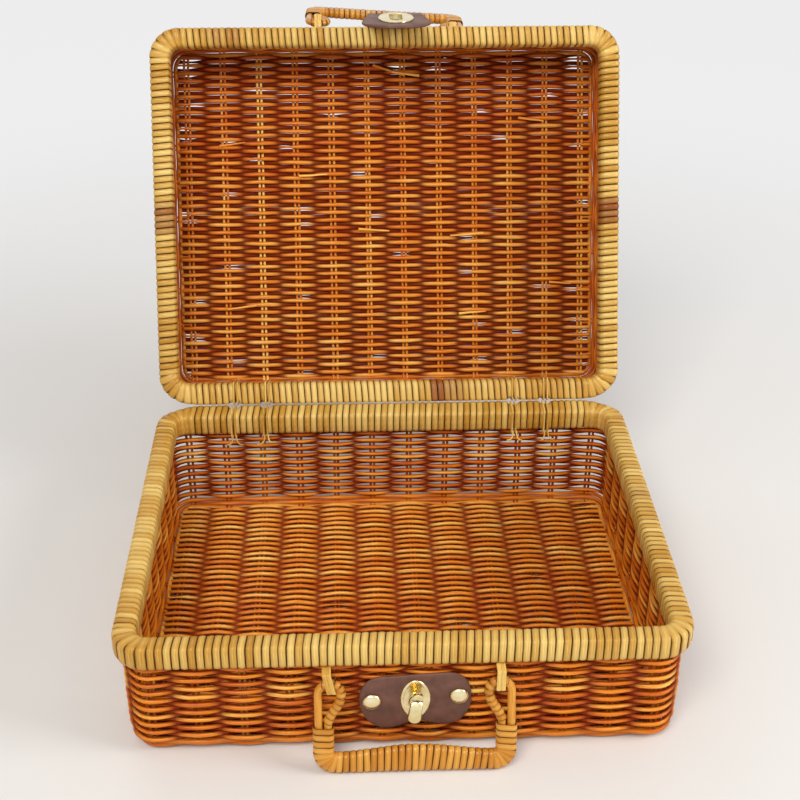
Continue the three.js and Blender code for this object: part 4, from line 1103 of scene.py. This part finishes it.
def handle_tie(body, hand, x, slant, outer, low, high):
    bands = [flat_band(x + side * BAND_BESIDE, slant, outer, low, high, body == "lid") for side in (-1, 1)]
    piece = join_pieces(f"{body}_handle_tie_{hand}_bands", bands)
    settle(piece, body, "straw_cane", f"{body}_handle_tie_{hand}")


EYE_X = LEG_X - EYE
TIE_OUT, LONG_TIE_OUT = -132.3, -138.0
BASE_TIE, LID_TIE = (49.5, 62.9), (97.1, 110.5)
handle_tie("base", "left", BASE_HANDLE_X - EYE_X, 0.2, TIE_OUT, *BASE_TIE)
handle_tie("base", "right", BASE_HANDLE_X + EYE_X, 0.0, TIE_OUT, *BASE_TIE)
handle_tie("lid", "left", -EYE_X, 0.1, LONG_TIE_OUT, *LID_TIE)
handle_tie("lid", "right", EYE_X, 0.0, TIE_OUT, *LID_TIE)

# %% [markdown]
# ## Finishes of leather and brass
# The lock sits on a patch of dull brown leather, and a leather tab with a slotted eyelet hangs from the
# lid. The leather has fine pores and worn blotches. The brass is pale and polished, with faint smears that
# soften its reflections. Both are drawn from places on the object, because neither runs along a strand.

# %% Leather finish
leather, hide, shader = new_finish("brown leather")
spot = put(hide, "ShaderNodeTexCoord").outputs["Object"]
pores = put(hide, "ShaderNodeTexVoronoi", {"Vector": spot, "Scale": 1100.0, "Randomness": 1.0})
creases = made(hide, "ShaderNodeTexNoise", {
    "Vector": spot, "Scale": 420.0, "Detail": 5.0, "Roughness": 0.65,
})
worn = aged(hide, 0.009)
tint = mixed(hide, worn, paint("5a372b"), paint("7a5040"))
height = calc(hide, "MULTIPLY_ADD", pores.outputs["Distance"], 0.6, creases)
feed(hide, shader, {
    "Base Color": mixed(hide, calc(hide, "MULTIPLY", creases, 0.35), tint, paint("3a2320")),
    "Roughness": ranged(hide, worn, 0.0, 1.0, 0.66, 0.5),
    "Normal": made(hide, "ShaderNodeBump", {"Height": height, "Strength": 0.35, "Distance": 0.0003}),
})
print("finish", leather.name)

# %% Brass finish
brass, metal, shader = new_finish("pale brass")
spot = put(metal, "ShaderNodeTexCoord").outputs["Object"]
smear = made(metal, "ShaderNodeTexNoise", {"Vector": spot, "Scale": 260.0, "Detail": 4.0})
feed(metal, shader, {
    "Base Color": mixed(metal, aged(metal, 0.006), paint("e2cf94"), paint("f5e9c0")),
    "Metallic": 1.0,
    "Roughness": ranged(metal, smear, 0.3, 0.7, 0.14, 0.3),
    "Normal": made(metal, "ShaderNodeBump", {"Height": smear, "Strength": 0.06, "Distance": 0.0003}),
})
print("finish", brass.name)

# %% [markdown]
# ## Lock
# A turn lock sits on the front: a leather patch, an oval plate with a rolled edge, a lever on a post and a
# domed rivet at each side. A subdivided cage could give such soft edges, but rings that are worked out from
# sizes keep each edge where the solid has it, so the lock still fits the eyelet of the tab.

# %% Places on the lock
LOCK_X, LOCK_Y, LOCK_Z = 5.5, -124, 39.5
PATCH_TILT, LEVER_TILT, RIVET_X = 3.5, -7, 24.2


def on_lock(points, tilt=0.0):
    """From the lock's own places (right, up, out) to the basket's, turned by tilt about the lock axis."""
    spin = np.array(Matrix.Rotation(math.radians(tilt), 3, "Z"))
    x, y, z = (np.asarray(points, float) @ spin.T).T
    return np.column_stack([LOCK_X + x, LOCK_Y - z, LOCK_Z + y])


print("lock at", on_lock([(0, 0, 0)])[0])

# %% Leather patch
PATCH_CURVES = [
    ((0.55, 1), (0.18, 1), (-0.18, 1), (-0.55, 1)), ((-0.55, 1), (-0.85, 1), (-1, 0.65), (-1, 0.1)),
    ((-1, 0.1), (-1, -0.6), (-0.8, -1), (-0.5, -1)), ((-0.5, -1), (-0.3, -1), (-0.2, -0.8), (0, -0.8)),
    ((0, -0.8), (0.2, -0.8), (0.3, -1), (0.5, -1)), ((0.5, -1), (0.8, -1), (1, -0.6), (1, 0.1)),
    ((1, 0.1), (1, 0.65), (0.85, 1), (0.55, 1)),
]
curve_shares = np.linspace(0, 1, 10, endpoint=False)
edge = np.concatenate([bezier(curve, curve_shares) for curve in PATCH_CURVES]) * (31.0, 18.5) - (0, 2.0)
edge_far = np.linalg.norm(edge, axis=1)[:, None]


def patch_ring(inset, share, height):
    """Outline drawn in by inset and shrunk to a share, domed and pressed down under the rivets."""
    flat = edge * (1 - inset / edge_far) * share
    dip = sum(np.exp(-((flat[:, 0] - x) ** 2 + flat[:, 1] ** 2) / 45) for x in (-RIVET_X, RIVET_X))
    rise = 0.3 * (1 - share ** 4) - (0.3 * dip if share < 1 else 0)
    return on_lock(np.column_stack([flat, np.full(len(flat), height) + rise]), PATCH_TILT)


patch_steps = [(0.5, 0.05, 0.3), (0.5, 1, 0.3), (0.05, 1, 0.6), (0, 1, 1.2), (0.25, 1, 1.65), (0.8, 1, 1.9)]
patch_steps += [(0.8, share, 1.9) for share in (0.93, 0.82, 0.7, 0.55, 0.4, 0.2, 0.05)]
patch = skinned("lock_patch_leather", [patch_ring(*step) for step in patch_steps], False, leather)
settle(patch, "base", "leather", "lock_patch")
print(patch.name, len(patch.data.polygons), "faces")


# %% Lock plate
def oval(wide, tall, z, count=48):
    a = np.linspace(0, 2 * math.pi, count, endpoint=False)
    return np.column_stack([wide * np.cos(a), tall * np.sin(a), np.full(count, z)])


def slot_shape(wide, tall, z, count=48):
    """Straight sides and round ends."""
    ring = oval(wide, wide, z, count)
    ring[:, 1] += np.where(np.arange(count) < count / 2, tall - wide, wide - tall)
    return ring


plate_steps = [(3.3, 3.3, 2.2), (8.35, 13.5, 2.2), (8.35, 13.5, 2.65), (8.0, 13.1, 3.05), (7.4, 12.5, 3.2),
               (6.7, 11.8, 3.05), (6.2, 11.2, 3.0), (4.6, 7.0, 3.1), (3.3, 3.3, 3.2)]
plate = skinned("lock_plate_brass", [on_lock(oval(*step)) for step in plate_steps], True, brass)
settle(plate, "base", "brass", "lock_plate")
print(plate.name, len(plate.data.polygons), "faces")

# %% Cutting
def cut(piece, cutter):
    """Takes the cutter's body out of the piece and removes the cutter."""
    hole = piece.modifiers.new("cut", "BOOLEAN")
    hole.object = cutter
    hole.solver = "EXACT"
    graph = bpy.context.evaluated_depsgraph_get()
    mesh = bpy.data.meshes.new_from_object(piece.evaluated_get(graph), depsgraph=graph)
    piece.modifiers.remove(hole)
    piece.data = mesh
    bpy.data.objects.remove(cutter)
    print(piece.name, "cut, now", len(mesh.polygons), "faces")


# %% Lever
LEVER_HALF, LEVER_REACH, LEVER_END = 3.75, 10.5, 9.6


def upper_block(ring):
    """1 on the narrow upper block of the lever, 0 on its grip."""
    return np.clip((ring[:, 1] + 0.4) / 1.2, 0, 1)


def lever_outline(swell, z):
    """Bar with a narrow upper block and a wider lower grip; swell is how far it stands past its chamfer."""
    ring = slot_shape(LEVER_HALF + swell, LEVER_REACH + swell, z)
    ring[:, 0] *= 1 - 0.2 * upper_block(ring)
    past_end = np.clip(ring[:, 1] - LEVER_END, 0, None)
    ring[:, 1] -= 0.5 * past_end
    return ring


def lever_top(swell, z):
    ring = lever_outline(swell, z)
    ring[:, 2] -= 0.7 * upper_block(ring)
    return ring


bar_rings = [lever_outline(-0.9, 7.8), lever_outline(0, 8.5), lever_outline(0, 10.4), lever_top(-0.3, 11.0),
             lever_top(-0.9, 11.3), lever_top(-2.2, 11.3)]
bar = skinned("bar", [on_lock(ring, LEVER_TILT) for ring in bar_rings], False, brass, 40)
slit = np.array([(6, 4.2, 0), (-6, 4.2, 0), (-6, 5.4, 0), (6, 5.4, 0)])
cut(bar, skinned("slit", [on_lock(slit + (0, 0, z), LEVER_TILT) for z in (8.9, 12.0)], False, brass))
post_steps = [(4.5, 1.1), (4.5, 1.9), (3.0, 2.0), (3.0, 5.4),
              (3.4, 5.8), (3.4, 6.4), (3.0, 6.8), (3.0, 9.0)]
post = skinned("post", [on_lock(oval(r, r, z, 32)) for r, z in post_steps], False, brass, 40)
lever = join_pieces("lock_lever_brass", [bar, post])
settle(lever, "lever", "brass", "lock_lever")

# %% Rivets
HEAD_RADIUS, HEAD_HEIGHT = 5.25, 2.1
head_angles = np.radians((0, 15, 30, 45, 60, 75, 87))
dome = [(HEAD_RADIUS * math.cos(a), 0.35 + HEAD_HEIGHT * math.sin(a)) for a in head_angles]
shank = [(0.5, -8.2), (1.9, -8.2), (2.3, -7.95), (2.3, -7.6), (1.5, -7.6), (1.5, 0.0), (5.1, 0.0)]
rivet = skinned("rivet", [oval(r, r, z, 32) for r, z in shank + dome], False, brass, 40)


def set_rivets(name, places, out, body):
    lines = [(places, turn_values(np.full(len(places), 0.5)))]
    piece = wind(f"{name}_rivets", lines, False, rivet, tuple(out), 0.0, 1, brass)
    settle(piece, body, "brass", f"{name}_rivet_left", f"{name}_rivet_right")


patch_places = on_lock([(-RIVET_X, 0, 2.2), (RIVET_X, 0, 2.2)], PATCH_TILT)
set_rivets("patch", patch_places, (0, -1, 0), "base")
tab_places = opened([(LOCK_X + side * 10, -126.4, 108.85) for side in (-1, 1)])
set_rivets("tab", tab_places, opened([[0, -1, 0]], True)[0], "lid")
bpy.data.objects.remove(rivet)

# %% [markdown]
# ## Leather tab
# The tab is riveted to the front of the lid, passes over the rim and hangs down in a free flap with an
# eyelet for the lever. Real leather bends all along. Here it has two folds, so it is made of two pieces,
# each of which turns smoothly across one fold and meets the other halfway between them.

# %% Strips along a path
def rounded_path(corners, trims, step):
    """Even points along a path whose corners are rounded off over the given lengths, and their distance."""
    corners = [np.array(corner, float) for corner in corners]
    path = [corners[0][None]]
    for before, here, after, trim in zip(corners, corners[1:], corners[2:], trims):
        enter = here + (before - here) * trim / np.linalg.norm(before - here)
        leave = here + (after - here) * trim / np.linalg.norm(after - here)
        path.append(bezier((enter, here, leave), np.linspace(0, 1, 9)))
    path = np.concatenate(path + [corners[-1][None]])
    far = np.concatenate([[0], np.cumsum(np.linalg.norm(np.diff(path, axis=0), axis=1))])
    places = np.linspace(0, far[-1], max(2, round(far[-1] / step) + 1))
    return np.column_stack([np.interp(places, far, path[:, k]) for k in (0, 1)]), places


def leather_strip(name, path, widths, thickness=1.8, columns=9):
    """Strip along a path in the Y-Z plane of the shut lid, with soft edges and the given half widths."""
    along = np.gradient(path, axis=0)
    along /= np.linalg.norm(along, axis=1)[:, None]
    rings = []
    for i, ((y, z), (ay, az), wide) in enumerate(zip(path, along, widths)):
        half = thickness / 2 * (0.45 if i in (0, len(path) - 1) else 1.0)
        across = np.linspace(-1, 1, columns) * max(wide - 0.5, 0.2)
        section = [(x, half) for x in across] + [(wide, half / 2), (wide, -half / 2)]
        section += [(x, -half) for x in across[::-1]] + [(-wide, -half / 2), (-wide, half / 2)]
        rings.append(opened([(LOCK_X + x, y + az * out, z - ay * out) for x, out in section]))
    return skinned(name, rings, False, leather, 60)


# %% Anchor and strap
FOLD = np.array((-129.3, 65.0))
CREST = np.array((-131.72, 60.63))
STRAP_HALF, END_ROUND = 18, 8
half_strap = (FOLD + CREST) / 2
anchor_corners = [(-125.2, 116.35), (-125.2, 99.6), (-129.3, 97.6), FOLD, half_strap]
anchor_path, anchor_places = rounded_path(anchor_corners, [1.6, 1.6, 1.6], 1.0)
into_round = np.clip(END_ROUND - anchor_places, 0, END_ROUND)
anchor_widths = STRAP_HALF - (END_ROUND - np.sqrt(END_ROUND ** 2 - into_round ** 2))
anchor = leather_strip("tab_anchor_leather", anchor_path, anchor_widths)
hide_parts("tab_anchor")
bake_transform(anchor)
print(anchor.name, len(anchor_path), "rings")

# %% Flap with its slot
FLAP_WAY = np.array((0.3256, -0.9455))
FLAP_LENGTH, FLAP_STRAIGHT, FLAP_HALF = 48, 31, 22.3
EYELET_DOWN = 20.5
flap_path, flap_places = rounded_path([half_strap, CREST, CREST + FLAP_LENGTH * FLAP_WAY], [1.7], 0.8)
reach = flap_places - np.linalg.norm(CREST - half_strap)
round_end = np.clip((reach - FLAP_STRAIGHT) / (FLAP_LENGTH - FLAP_STRAIGHT), 0, 0.9995)
flap_widths = np.interp(reach, [0, FLAP_STRAIGHT], [STRAP_HALF, FLAP_HALF]) * np.sqrt(1 - round_end ** 2)
flap = leather_strip("tab_flap_leather", flap_path, flap_widths)


def on_flap(points):
    """From the flap's own places (right, up from the crest, out) to the basket's."""
    x, up, out = np.asarray(points, float).T
    y = CREST[0] - FLAP_WAY[0] * up + FLAP_WAY[1] * out
    z = CREST[1] - FLAP_WAY[1] * up - FLAP_WAY[0] * out
    return opened(np.column_stack([LOCK_X + x, y, z]))


def eyelet_ring(shape, wide, tall, out):
    return on_flap(shape(wide, tall, out) + (0, -EYELET_DOWN, 0))


cut(flap, skinned("cutter", [eyelet_ring(slot_shape, 5.1, 12.85, out) for out in (-3, 3)], False, leather))
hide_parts("tab_strap", "tab_flap")
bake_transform(flap)

# %% Eyelet
front_steps = [
    (slot_shape, 4.25, 12.0, -1.8), (slot_shape, 4.85, 12.6, -1.8), (slot_shape, 4.85, 12.6, 1.2),
    (oval, 11.5, 18, 1.2), (oval, 11.5, 18, 1.55), (oval, 11.2, 17.7, 1.9), (oval, 10.6, 17.1, 2.0),
    (oval, 9.8, 16.3, 1.9), (slot_shape, 5.6, 13.4, 1.95), (slot_shape, 4.8, 12.6, 2.05),
    (slot_shape, 4.25, 12.0, 1.8),
]
back_steps = [
    (slot_shape, 5.15, 12.9, -1.2), (oval, 10.5, 17, -1.2), (oval, 10.5, 17, -1.55),
    (oval, 10.2, 16.7, -1.8), (slot_shape, 5.15, 12.9, -1.8),
]
for node, steps in (("eyelet_front", front_steps), ("eyelet_back", back_steps)):
    plate = skinned(f"{node}_brass", [eyelet_ring(*step) for step in steps], True, brass, 40)
    settle(plate, "flap", "brass", node)
    print(plate.name, len(plate.data.polygons), "faces")

# %% [markdown]
# ## Solids that stay
# The hoops inside the rims and the washers behind the rivets have the right shape already, and little of
# them shows. They keep their solids and get the finishes of split willow and brass.

# %% Finishes of the kept solids
def refinish(node, finish):
    holder = bpy.data.objects[node]
    holder.data.materials.clear()
    holder.data.materials.append(finish)
    print(node, "in", finish.name)


for tray in ("base", "lid"):
    for place in ("outer", "inner"):
        refinish(f"{tray}_rim_{place}_hoop", peeled_willow)
for label in ("patch", "tab"):
    for hand in ("left", "right"):
        refinish(f"{label}_rivet_burr_{hand}", brass)

# %% [markdown]
# ## End

# %% End
bpy.context.view_layer.update()
